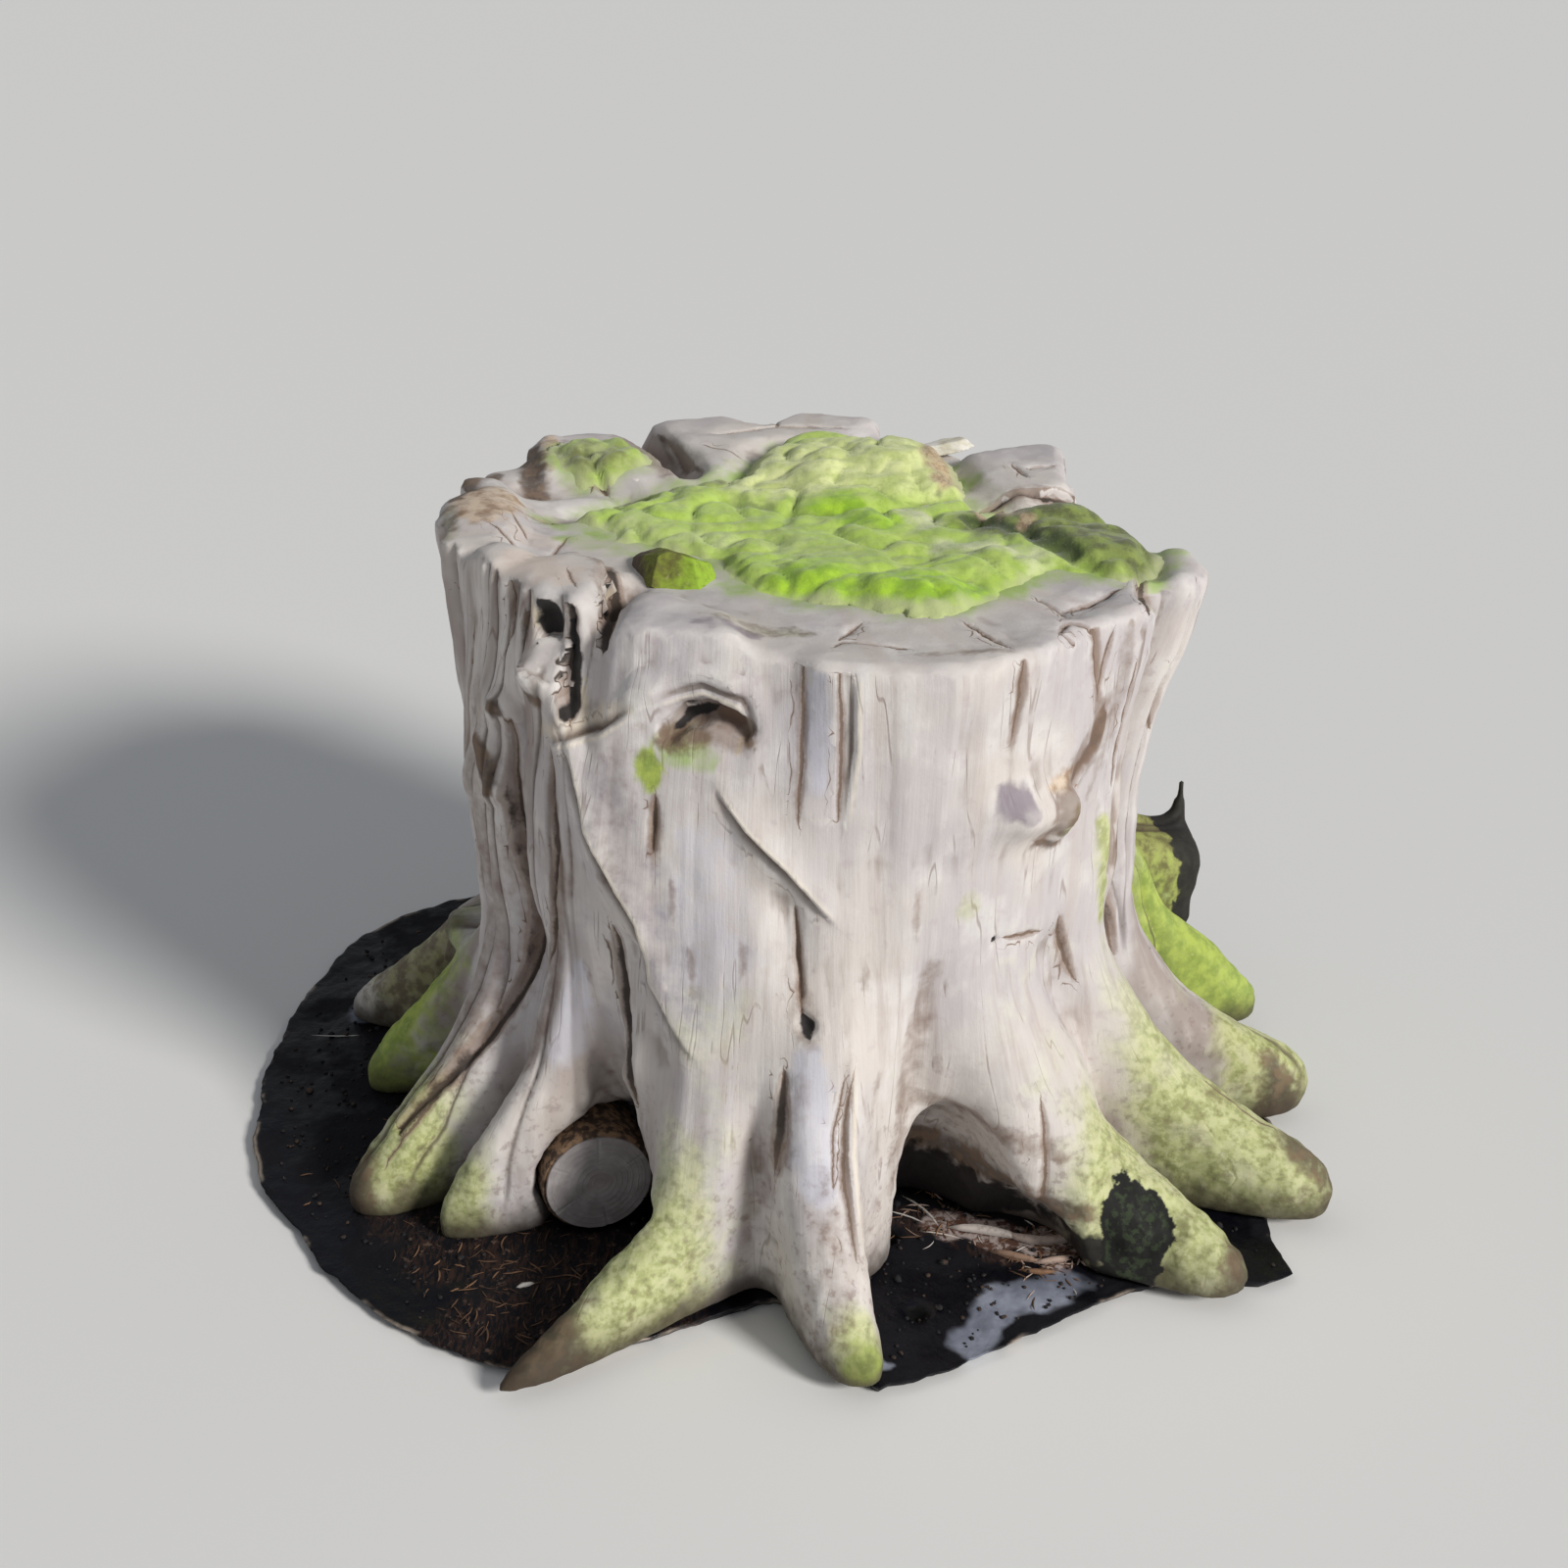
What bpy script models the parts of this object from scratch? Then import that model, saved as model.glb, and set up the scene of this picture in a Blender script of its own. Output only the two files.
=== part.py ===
"""A weathered tree stump on a thin slab of dark soil.

The stump is one grown piece of wood: a fluted trunk with a cracked, sawn top and the roots that run out of it.
The soil, a sawn round of dead root under the arch, the moss cushions, a mossy chip of wood and a loose
splinter are pieces of their own. Metres, +Z up, -Y is the front, and the origin lies under the trunk's axis.
Polar points are (azimuth in degrees, radius), with azimuth 0 at +X and 90 at the back.
"""
import math

import bmesh
import bpy
import numpy as np
from mathutils import Matrix, Vector, noise

# Driving dimensions
CUT_HEIGHT = 0.500
WAIST_HEIGHT = 0.330
SOIL_TOP = 0.012
SOIL_EDGE = 0.007
GAP = 0.0003
SEAT = SOIL_TOP + GAP
MOSS_GAP = 0.0005

# Azimuths on the side are turned into lengths at this radius
ARC_RADIUS = 0.26

# Buttresses and ribs
FLARE_LIMIT = 0.046
FLARE_RISE = 0.10
FLARE_WIDTH = 0.48
FLARE_LOW = 0.02
FLARE_HIGH = 0.13
RIB_SPACING = 0.034
RIB_DEPTH = 0.0045
RIB_DRIFT = 0.16
ROOT_FOOT = -0.02
ROOT_SPLAY = 0.96
ROOT_NARROW_START = 0.62
ROOT_SIDES = 24

# How fine the stump is made
VOXEL = 0.0058
STUMP_TRIANGLES = 9000
SMOOTHING = 7
SMOOTHING_SHARE = 0.5
RIM_SHARE = 0.27
RIM_FROM = 0.455
RIM_TO = 0.480
TRUNK_SECTORS = 360
TRUNK_ROWS = 110
TOP_RINGS = 60

# The trunk's outline at the cut, at the waist and at the ground
RIM = [
    (-177, 0.266), (-168, 0.250), (-158, 0.238), (-147, 0.232), (-138, 0.236), (-128, 0.232), (-118, 0.226),
    (-109, 0.222), (-100, 0.222), (-92, 0.222), (-82, 0.244), (-69, 0.266), (-57, 0.273), (-40, 0.268),
    (-24, 0.284), (-16, 0.300), (-8, 0.311), (-2, 0.306), (5, 0.262), (18, 0.252), (30, 0.262), (45, 0.316),
    (57, 0.272), (68, 0.286), (79, 0.322), (100, 0.331), (114, 0.336), (130, 0.334), (142, 0.318),
    (151, 0.300), (168, 0.280),
]
WAIST = [
    (-176, 0.256), (-150, 0.256), (-125, 0.252), (-100, 0.250), (-80, 0.254), (-55, 0.262), (-30, 0.264),
    (-8, 0.272), (15, 0.268), (45, 0.276), (90, 0.290), (130, 0.286), (160, 0.264),
]
FOOT = [
    (-176, 0.240), (-158, 0.240), (-147, 0.215), (-136, 0.200), (-124, 0.185), (-114, 0.225), (-102, 0.268),
    (-88, 0.275), (-77, 0.255), (-68, 0.235), (-54, 0.235), (-44, 0.250), (-25, 0.260), (-5, 0.265),
    (20, 0.270), (50, 0.275), (90, 0.275), (130, 0.272), (160, 0.250),
]

# Relief on the trunk's side: (path of (azimuth, height), half width, how far it stands out, or in if below 0)
SIDE_RELIEF = [
    # Deep clefts between the flutes
    ([(-146, 0.42), (-145, 0.284), (-144, 0.238), (-149, 0.160), (-153, 0.100), (-153, 0.0)], 0.017, -0.030),
    ([(-134.6, 0.343), (-137, 0.258), (-140.5, 0.200), (-145, 0.128)], 0.010, -0.012),
    ([(-116.5, 0.273), (-116.5, 0.200), (-117, 0.139)], 0.014, -0.024),
    ([(-91, 0.330), (-89, 0.249), (-89, 0.208)], 0.012, -0.016),
    ([(-67, 0.250), (-68, 0.205), (-69, 0.148)], 0.016, -0.014),
    ([(-43, 0.249), (-37, 0.168), (-33, 0.100), (-31, 0.040)], 0.018, -0.022),
    ([(-19, 0.540), (-17, 0.400), (-16, 0.284), (-20, 0.216), (-15, 0.120), (-14, 0.040)], 0.015, -0.034),
    ([(5, 0.260), (7, 0.120), (7, 0.0)], 0.022, -0.024),
    ([(26, 0.330), (26, 0.180)], 0.020, -0.018),
    ([(172, 0.230), (170, 0.120), (170, 0.0)], 0.018, -0.020),
    # Furrows and ribs on the left and round the back
    ([(-163, 0.47), (-163, 0.330), (-157, 0.240)], 0.010, -0.010),
    ([(-173, 0.50), (-171, 0.300), (-168, 0.160)], 0.012, -0.012),
    ([(178, 0.50), (176, 0.280), (178, 0.160)], 0.014, -0.010),
    ([(160, 0.52), (158, 0.260), (160, 0.100)], 0.020, -0.018),
    ([(138, 0.52), (136, 0.300), (140, 0.060)], 0.022, -0.022),
    ([(118, 0.46), (116, 0.240), (113, 0.080)], 0.020, -0.018),
    ([(95, 0.54), (92, 0.320), (84, 0.060)], 0.022, -0.026),
    ([(72, 0.50), (74, 0.300), (78, 0.140)], 0.018, -0.016),
    ([(52, 0.50), (50, 0.280), (46, 0.060)], 0.024, -0.026),
    ([(12, 0.54), (14, 0.400), (10, 0.300)], 0.022, -0.018),
    # The overlapping lip of bark-like wood that snakes down the left front
    ([(-134, 0.446), (-130.5, 0.420), (-126, 0.365), (-121.5, 0.325), (-116, 0.285), (-111, 0.240), (-106, 0.200)],
     0.014, 0.011),
    ([(-135, 0.410), (-130.5, 0.355), (-126, 0.310), (-120.5, 0.270), (-115.5, 0.228), (-110, 0.190)], 0.010, -0.011),
    # The notch that splits the left front from the top, the splintery cavity and the knots beside it
    ([(-124, 0.560), (-127.5, 0.509), (-129, 0.464), (-127.5, 0.429)], 0.014, -0.034),
    ([(-136, 0.512), (-135.5, 0.484)], 0.015, -0.020),
    ([(-139, 0.459)], 0.019, 0.020),
    ([(-153, 0.422), (-152, 0.404)], 0.014, 0.011),
    ([(-162, 0.350), (-161.5, 0.338)], 0.013, 0.011),
    # The arched knot hole, its brow and the bridge of wood on its left
    ([(-111, 0.452), (-106, 0.461), (-101.5, 0.456), (-99, 0.446)], 0.013, -0.026),
    ([(-115, 0.468), (-107, 0.479), (-100, 0.472), (-96.5, 0.448), (-95.5, 0.430)], 0.010, 0.009),
    ([(-131, 0.423), (-122, 0.440), (-115, 0.469)], 0.010, 0.011),
    # The slanted ridge that ends in a twig, with its undercut
    ([(-102, 0.402), (-99.5, 0.386), (-92, 0.353), (-84.5, 0.313)], 0.009, 0.010),
    ([(-103.5, 0.382), (-98, 0.350), (-91, 0.320)], 0.009, -0.009),
    # Cracks and ribs on the front
    ([(-90.5, 0.500), (-90.5, 0.380)], 0.007, -0.010),
    ([(-85, 0.505), (-86.5, 0.391)], 0.009, 0.007),
    ([(-55, 0.490), (-57, 0.427)], 0.006, -0.007),
    ([(-58, 0.268), (-44, 0.262)], 0.006, -0.006),
    # The flat panel at the foot, between a seam and a dark slot
    ([(-89, 0.165), (-88.5, 0.080), (-88, 0.0)], 0.030, 0.012),
    ([(-84.5, 0.200), (-83.5, 0.120), (-83.5, 0.053)], 0.008, -0.010),
    ([(-94.2, 0.173), (-94.2, 0.139), (-94.5, 0.105)], 0.010, -0.016),
    # The cut branch stub on the right front and the swelling above it
    ([(-55, 0.378), (-47, 0.372)], 0.024, 0.026),
    ([(-46, 0.392), (-41, 0.420), (-37, 0.450)], 0.012, 0.009),
]

# Hollows under the arches: azimuth, radius and height of the middle, then half width, half depth, half height
CAVES = [
    (-62, 0.262, 0.020, 0.042, 0.095, 0.126),
    (-72, 0.292, 0.040, 0.020, 0.044, 0.124),
    (-53, 0.288, 0.000, 0.040, 0.058, 0.070),
    (-127, 0.225, 0.015, 0.044, 0.075, 0.100),
    (-122, 0.240, 0.125, 0.012, 0.030, 0.032),
    (-14, 0.330, 0.020, 0.014, 0.060, 0.090),
    (6, 0.330, 0.020, 0.018, 0.060, 0.090),
]

# Roots: (points along the crest as (azimuth, radius, height), width at the trunk, width at the tip)
ROOTS = [
    ([(163, 0.250, 0.175), (163, 0.300, 0.134), (163, 0.350, 0.085), (163, 0.400, 0.045), (163, 0.425, 0.020)],
     0.060, 0.028),
    ([(178, 0.235, 0.200), (178, 0.276, 0.138), (178, 0.310, 0.098), (179, 0.350, 0.050), (179, 0.374, 0.020)],
     0.070, 0.040),
    ([(-155, 0.235, 0.270), (-154, 0.278, 0.165), (-154, 0.318, 0.112), (-154, 0.368, 0.054),
      (-155, 0.398, 0.020)], 0.090, 0.052),
    ([(-133, 0.238, 0.280), (-136.5, 0.262, 0.165), (-139.5, 0.300, 0.106), (-142, 0.332, 0.054),
      (-143, 0.352, 0.022)], 0.052, 0.021),
    ([(-102, 0.240, 0.290), (-104, 0.272, 0.182), (-107.5, 0.300, 0.115), (-111, 0.338, 0.074),
      (-115, 0.390, 0.044), (-119, 0.446, 0.018)], 0.084, 0.026),
    ([(-83.5, 0.242, 0.290), (-85.5, 0.296, 0.190), (-85, 0.322, 0.128), (-84, 0.347, 0.078),
      (-82.5, 0.378, 0.040), (-82, 0.396, 0.018)], 0.078, 0.040),
    ([(-54, 0.232, 0.310), (-49, 0.272, 0.200), (-44.5, 0.305, 0.138), (-41.5, 0.345, 0.092),
      (-39.5, 0.404, 0.052), (-38.5, 0.446, 0.020)], 0.124, 0.054),
    ([(-30, 0.248, 0.270), (-27, 0.283, 0.190), (-25, 0.325, 0.136), (-24, 0.375, 0.096),
      (-23, 0.440, 0.058), (-23, 0.468, 0.024)], 0.078, 0.048),
    ([(-8, 0.250, 0.270), (-6, 0.288, 0.172), (-5, 0.325, 0.124), (-4, 0.372, 0.092), (-3, 0.422, 0.060),
      (-3, 0.446, 0.024)], 0.078, 0.050),
    ([(15, 0.262, 0.260), (17, 0.312, 0.186), (17, 0.338, 0.138), (17, 0.388, 0.090), (17, 0.430, 0.050),
      (17, 0.450, 0.022)], 0.074, 0.038),
    ([(36, 0.250, 0.230), (35, 0.330, 0.188), (33, 0.392, 0.160), (31, 0.470, 0.128)], 0.096, 0.066),
    ([(62, 0.262, 0.250), (64, 0.315, 0.150), (66, 0.370, 0.090), (67, 0.420, 0.046), (68, 0.444, 0.020)],
     0.088, 0.038),
    ([(86, 0.264, 0.220), (92, 0.320, 0.130), (98, 0.365, 0.080), (104, 0.400, 0.044), (107, 0.420, 0.020)],
     0.080, 0.036),
    ([(128, 0.268, 0.240), (126, 0.330, 0.140), (125, 0.385, 0.078), (126, 0.425, 0.042), (127, 0.450, 0.020)],
     0.092, 0.038),
    ([(148, 0.262, 0.200), (148, 0.305, 0.130), (147, 0.352, 0.080), (145, 0.390, 0.044), (143, 0.412, 0.020)],
     0.062, 0.032),
]

# Limbs that don't reach the ground: the short leg behind the sawn round, the snag on the broken root, and the
# knob where a root leaves the trunk at the left
FREE_LIMBS = [
    ([(-118, 0.236, 0.260), (-119.5, 0.236, 0.180), (-120.5, 0.226, 0.105)], 0.034, 0.020),
    ([(33, 0.412, 0.130), (33, 0.424, 0.166), (33.5, 0.430, 0.198)], 0.034, 0.010),
    ([(170, 0.250, 0.146), (169, 0.280, 0.152), (168, 0.304, 0.156)], 0.040, 0.040),
]

# Where the broken root at the right ends in a rough face, and how far that face turns and leans
BROKEN_ROOT_AZIMUTH = 33
BROKEN_ROOT_FACE = 0.442
BROKEN_ROOT_TURN = -20
BROKEN_ROOT_LEAN = 12
BROKEN_ROOT_MIDDLE = 0.10
BREAKER_LOW = (0.0, -0.12, -0.20)
BREAKER_HIGH = (0.2, 0.12, 0.20)

# Relief on the sawn top: (outline or path of (x, y), height above the cut, softness of the edge)
TOP_PLATES = [
    ([(-0.135, 0.290), (-0.102, 0.330), (-0.041, 0.345), (0.055, 0.345), (0.084, 0.300), (0.036, 0.254),
      (-0.039, 0.231), (-0.054, 0.150), (-0.094, 0.143), (-0.104, 0.175), (-0.084, 0.211)], 0.011, 0.007),
    ([(-0.250, 0.239), (-0.193, 0.280), (-0.146, 0.275), (-0.106, 0.205), (-0.120, 0.130), (-0.165, 0.130),
      (-0.218, 0.183)], 0.007, 0.014),
    ([(-0.330, 0.150), (-0.235, 0.135), (-0.214, 0.080), (-0.205, 0.000), (-0.215, -0.040), (-0.330, -0.040)],
     0.014, 0.018),
    ([(-0.250, -0.070), (-0.214, -0.036), (-0.180, -0.070), (-0.157, -0.054), (-0.128, -0.085),
      (-0.133, -0.160), (-0.150, -0.210), (-0.215, -0.160)], 0.022, 0.010),
    ([(-0.112, -0.125), (-0.080, -0.135), (-0.040, -0.170), (-0.030, -0.240), (-0.110, -0.230),
      (-0.122, -0.185)], 0.014, 0.022),
    ([(0.142, 0.197), (0.235, 0.240), (0.250, 0.143), (0.216, 0.091), (0.179, 0.076), (0.152, 0.117)],
     0.014, 0.008),
]
TOP_CRACKS = [
    ([(-0.140, 0.300), (-0.098, 0.212), (-0.082, 0.160)], 0.013, -0.034),
    ([(-0.135, -0.200), (-0.126, -0.150), (-0.118, -0.098)], 0.011, -0.034),
    ([(-0.214, 0.137), (-0.170, 0.140), (-0.134, 0.132), (-0.120, 0.090), (-0.180, 0.070)], 0.020, -0.012),
    ([(0.236, 0.112), (0.205, 0.068), (0.165, 0.060)], 0.016, -0.020),
    ([(0.266, -0.160), (0.258, -0.110), (0.266, -0.050), (0.276, 0.020)], 0.011, -0.016),
    ([(-0.210, -0.120), (-0.186, -0.075), (-0.150, -0.070)], 0.007, -0.008),
    ([(0.130, -0.150), (0.154, -0.195)], 0.007, -0.008),
    ([(0.172, -0.112), (0.194, -0.148), (0.236, -0.090)], 0.007, -0.008),
    ([(-0.070, 0.260), (-0.010, 0.285), (0.050, 0.280)], 0.007, -0.007),
]

# The soil's ragged outline
SOIL_OUTLINE = [
    (-171, 0.452), (-163, 0.449), (-153, 0.434), (-142, 0.429), (-134, 0.424), (-122, 0.415), (-116, 0.400),
    (-110, 0.347), (-99, 0.294), (-90.5, 0.280), (-85, 0.330), (-81, 0.384), (-74, 0.374), (-68, 0.366),
    (-58, 0.362), (-50, 0.364), (-42, 0.384), (-34, 0.460), (-28, 0.420), (-24, 0.408), (-17, 0.456),
    (-11, 0.420), (-6, 0.404), (-3.6, 0.372), (1.9, 0.454), (6, 0.350), (14, 0.330), (22, 0.380),
    (35, 0.415), (52, 0.405), (68, 0.440), (84, 0.420), (100, 0.430), (116, 0.450), (128, 0.462),
    (136, 0.490), (148, 0.498), (158, 0.478), (168, 0.466), (180, 0.456),
]
SOIL_SECTORS = 120
SOIL_RINGS = 9
SOIL_PITS = [(-0.250, -0.085, 0.020), (0.128, -0.165, 0.026), (0.040, -0.330, 0.016), (0.110, -0.300, 0.016)]
PIT_DEPTH = 0.004

# The sawn round of dead root
ROUND_FACE_CENTRE = (-0.147, -0.202)
ROUND_RADIUS = 0.044
ROUND_WOOD_RADIUS = 0.039
ROUND_LENGTH = 0.074
ROUND_FACING = -74
ROUND_SIDES = 28
ROUND_CLEARANCE = 0.0025

# Moss: an outline, and lumps of (x, y, radius, height) on a mat of even thickness
CUSHION_CENTRE = (0.050, 0.030)
CUSHION_OUTLINE = [
    (-0.166, 0.052), (-0.162, 0.088), (-0.134, 0.122), (-0.092, 0.140), (-0.048, 0.148), (-0.036, 0.185),
    (-0.012, 0.230), (0.030, 0.248), (0.070, 0.240), (0.102, 0.205), (0.132, 0.176), (0.138, 0.130),
    (0.150, 0.078), (0.176, 0.058), (0.214, 0.066), (0.240, 0.046), (0.266, 0.014), (0.282, -0.016),
    (0.274, -0.048), (0.258, -0.076), (0.240, -0.086), (0.222, -0.084), (0.190, -0.072), (0.170, -0.086),
    (0.150, -0.118), (0.118, -0.146), (0.084, -0.152), (0.042, -0.134), (0.000, -0.120), (-0.034, -0.110),
    (-0.044, -0.080), (-0.066, -0.036), (-0.100, -0.014), (-0.136, 0.004),
]
CUSHION_LUMPS = [
    (0.052, 0.180, 0.062, 0.017), (0.100, 0.165, 0.042, 0.016), (0.006, 0.150, 0.046, 0.012),
    (0.020, 0.215, 0.036, 0.010), (0.196, 0.006, 0.044, 0.012), (0.236, -0.030, 0.036, 0.012),
    (0.210, 0.040, 0.030, 0.010), (0.088, -0.122, 0.034, 0.013), (0.036, -0.108, 0.028, 0.008),
    (0.058, 0.024, 0.028, 0.010), (-0.060, 0.104, 0.038, 0.006), (0.006, -0.074, 0.034, 0.007),
    (-0.110, 0.060, 0.040, 0.004), (0.140, -0.060, 0.034, 0.008),
]
CUSHION_THICKNESS = 0.006
LEFT_MOSS_CENTRE = (-0.165, 0.198)
LEFT_MOSS_OUTLINE = [
    (-0.206, 0.184), (-0.206, 0.206), (-0.190, 0.230), (-0.166, 0.242), (-0.142, 0.238), (-0.124, 0.214),
    (-0.116, 0.188), (-0.124, 0.158), (-0.146, 0.142), (-0.172, 0.144), (-0.194, 0.166),
]
LEFT_MOSS_LUMPS = [(-0.150, 0.192, 0.034, 0.007), (-0.192, 0.224, 0.030, 0.006)]
LEFT_MOSS_THICKNESS = 0.006
MOSS_WALL = 0.003
MOSS_ROOT_DEPTH = 0.034

# The mossy chip that leans on the front of the top
CHIP_CENTRE = (-0.086, -0.068)
CHIP_OUTLINE = [
    (-0.120, -0.064), (-0.114, -0.036), (-0.096, -0.024), (-0.080, -0.034), (-0.068, -0.060), (-0.053, -0.096),
    (-0.062, -0.120), (-0.084, -0.112), (-0.104, -0.094),
]
CHIP_LUMPS = [(-0.102, -0.058, 0.030, 0.014), (-0.078, -0.088, 0.026, 0.010)]
CHIP_THICKNESS = 0.010

# The loose splinter at the back: its middle, length, width, thickness, heading and rise
SPLINTER_PLACE = (0.128, 0.226)
SPLINTER_SIZE = (0.058, 0.022, 0.009)
SPLINTER_HEADING = 6
SPLINTER_RISE = 9
SPLINTER_HEIGHT = 0.008


# Small helpers

def clear_scene():
    for item in list(bpy.data.objects):
        bpy.data.objects.remove(item, do_unlink=True)


def material(name, colour, roughness):
    shader = bpy.data.materials.new(name)
    shader.use_nodes = True
    principled = shader.node_tree.nodes["Principled BSDF"]
    principled.inputs["Base Color"].default_value = (*colour, 1.0)
    principled.inputs["Roughness"].default_value = roughness
    principled.inputs["Metallic"].default_value = 0.0
    return shader


def add_object(name, vertices, faces):
    mesh = bpy.data.meshes.new(name)
    mesh.from_pydata([tuple(v) for v in vertices], [], faces)
    mesh.validate()
    mesh.update()
    item = bpy.data.objects.new(name, mesh)
    bpy.context.scene.collection.objects.link(item)
    return item


def remove(item):
    bpy.data.objects.remove(item, do_unlink=True)


def apply_modifier(item, kind, **settings):
    """Adds one modifier and applies it, so that the mesh itself changes."""
    modifier = item.modifiers.new(kind.lower(), kind)
    for key, value in settings.items():
        setattr(modifier, key, value)
    evaluated = item.evaluated_get(bpy.context.evaluated_depsgraph_get())
    mesh = bpy.data.meshes.new_from_object(evaluated)
    item.modifiers.clear()
    old = item.data
    item.data = mesh
    bpy.data.meshes.remove(old)


def subtract(item, cutter):
    apply_modifier(item, "BOOLEAN", operation="DIFFERENCE", solver="EXACT", object=cutter)


def relax(item):
    """Evens out the steps of the remesh: vertices move towards their neighbours, but little at the sawn rim."""
    count = len(item.data.vertices)
    points = np.array([vertex.co for vertex in item.data.vertices])
    a, b = np.array([edge.vertices for edge in item.data.edges]).T
    links = (np.bincount(a, minlength=count) + np.bincount(b, minlength=count))[:, None]
    near_rim = smoothstep(RIM_FROM, RIM_TO, points[:, 2])
    weight = (SMOOTHING_SHARE + (RIM_SHARE - SMOOTHING_SHARE) * near_rim)[:, None]
    for _ in range(SMOOTHING):
        total = np.stack([np.bincount(a, points[b, axis], count) + np.bincount(b, points[a, axis], count)
                          for axis in range(3)], 1)
        points += (total / links - points) * weight
    item.data.vertices.foreach_set("co", points.ravel())
    item.data.update()


def face_outwards(item):
    work = bmesh.new()
    work.from_mesh(item.data)
    bmesh.ops.recalc_face_normals(work, faces=work.faces)
    work.to_mesh(item.data)
    work.free()


def keep_largest_body(item):
    """Drops sealed bubbles and scraps: only the body with the most vertices stays."""
    work = bmesh.new()
    work.from_mesh(item.data)
    unseen = set(work.verts)
    bodies = []
    while unseen:
        body = [unseen.pop()]
        for vertex in body:
            for edge in vertex.link_edges:
                other = edge.other_vert(vertex)
                if other in unseen:
                    unseen.discard(other)
                    body.append(other)
        bodies.append(body)
    bodies.sort(key=len, reverse=True)
    scraps = [vertex for body in bodies[1:] for vertex in body]
    bmesh.ops.delete(work, geom=scraps, context="VERTS")
    work.to_mesh(item.data)
    work.free()


def triangulate(item):
    work = bmesh.new()
    work.from_mesh(item.data)
    bmesh.ops.triangulate(work, faces=work.faces)
    work.to_mesh(item.data)
    work.free()


def smoothstep(low, high, value):
    t = np.clip((value - low) / (high - low), 0.0, 1.0)
    return t * t * (3.0 - 2.0 * t)


def ripple(points, size, seed):
    """Smooth noise in -1..1 at each point, with lumps of about the given size."""
    offset = Vector((seed * 7.3, seed * 3.1, seed * 5.7))
    return np.array([noise.noise(Vector(p) / size + offset) for p in points])


def polar_radius(outline, azimuths):
    """The radius of a closed polar outline at each azimuth, rounded between its points."""
    azimuth, radius = (np.array(column, float) for column in zip(*sorted(outline)))
    azimuth = np.concatenate((azimuth - 360, azimuth, azimuth + 360))
    radius = np.tile(radius, 3)
    wrapped = (np.asarray(azimuths, float) + 180.0) % 360.0 - 180.0
    index = np.searchsorted(azimuth, wrapped, side="right") - 1
    span = azimuth[index + 1] - azimuth[index]
    t = smoothstep(0.0, 1.0, (wrapped - azimuth[index]) / span) * 0.5 + (wrapped - azimuth[index]) / span * 0.5
    return radius[index] * (1 - t) + radius[index + 1] * t


def distance_to_path(path, x, y):
    """Distance from each (x, y) to a path of one or more points."""
    path = np.array(path, float)
    best = np.hypot(x - path[0, 0], y - path[0, 1])
    for a, b in zip(path[:-1], path[1:]):
        run = b - a
        t = np.clip(((x - a[0]) * run[0] + (y - a[1]) * run[1]) / (run @ run), 0.0, 1.0)
        best = np.minimum(best, np.hypot(x - a[0] - t * run[0], y - a[1] - t * run[1]))
    return best


def depth_inside(outline, x, y):
    """Signed distance to a closed outline: above 0 inside it."""
    distance = distance_to_path([*outline, outline[0]], x, y)
    inside = np.zeros(np.shape(x), bool)
    for (x1, y1), (x2, y2) in zip(outline, [*outline[1:], outline[0]]):
        if y1 == y2:
            continue
        crosses = (y1 > y) != (y2 > y)
        inside ^= crosses & (x < x1 + (y - y1) * (x2 - x1) / (y2 - y1))
    return np.where(inside, distance, -distance)


def bump(distance, half_width):
    """1 on a path and 0 from half_width on, round in between."""
    return np.clip(1.0 - (distance / half_width) ** 2, 0.0, 1.0) ** 1.5


# The trunk

def root_flare(azimuth, height, radius):
    """How far each root, as a buttress, swells the trunk above where it leaves it."""
    flare = np.zeros(np.shape(azimuth))
    for crest, start_width, _ in ROOTS:
        along, out, up = (np.array(column[::-1], float) for column in zip(*crest))
        turn = (azimuth - np.interp(height, up, along) + 180.0) % 360.0 - 180.0
        distance = turn * math.radians(1.0) * ARC_RADIUS
        reach = np.clip(np.interp(height, up, out) - radius, 0.0, FLARE_LIMIT)
        fade = 1.0 - smoothstep(up[-1], up[-1] + FLARE_RISE, height)
        fade = fade * (0.35 + 0.65 * smoothstep(FLARE_LOW, FLARE_HIGH, height))
        flare = np.maximum(flare, reach * fade * np.exp(-(distance / (start_width * FLARE_WIDTH)) ** 2))
    return flare


def fluting(azimuth, height):
    """Shallow upright ribs, as the wood's grain runs, which wander a little with height."""
    angle = np.radians(azimuth)
    points = np.stack((np.cos(angle) * ARC_RADIUS, np.sin(angle) * ARC_RADIUS, height * RIB_DRIFT), 1)
    return ripple(points, RIB_SPACING, 4) * RIB_DEPTH


def side_radius(azimuth, height):
    """The trunk's radius at each azimuth and height, with its flutes, clefts, knots and hollows."""
    waist = polar_radius(WAIST, azimuth)
    rising = smoothstep(WAIST_HEIGHT, CUT_HEIGHT, height)
    falling = smoothstep(0.0, 1.0, (WAIST_HEIGHT - height) / WAIST_HEIGHT)
    radius = waist + (polar_radius(RIM, azimuth) - waist) * rising
    radius = radius + (polar_radius(FOOT, azimuth) - waist) * falling
    radius = radius + root_flare(azimuth, height, radius) + fluting(azimuth, height)
    arc = math.radians(1.0) * ARC_RADIUS
    for path, half_width, stand_out in SIDE_RELIEF:
        middle = sum(point[0] for point in path) / len(path)
        turn = (azimuth - middle + 180.0) % 360.0 - 180.0
        flat_path = [((a - middle) * arc, h) for a, h in path]
        distance = distance_to_path(flat_path, turn * arc, height)
        radius = radius + stand_out * bump(distance, half_width)
    return radius


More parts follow.
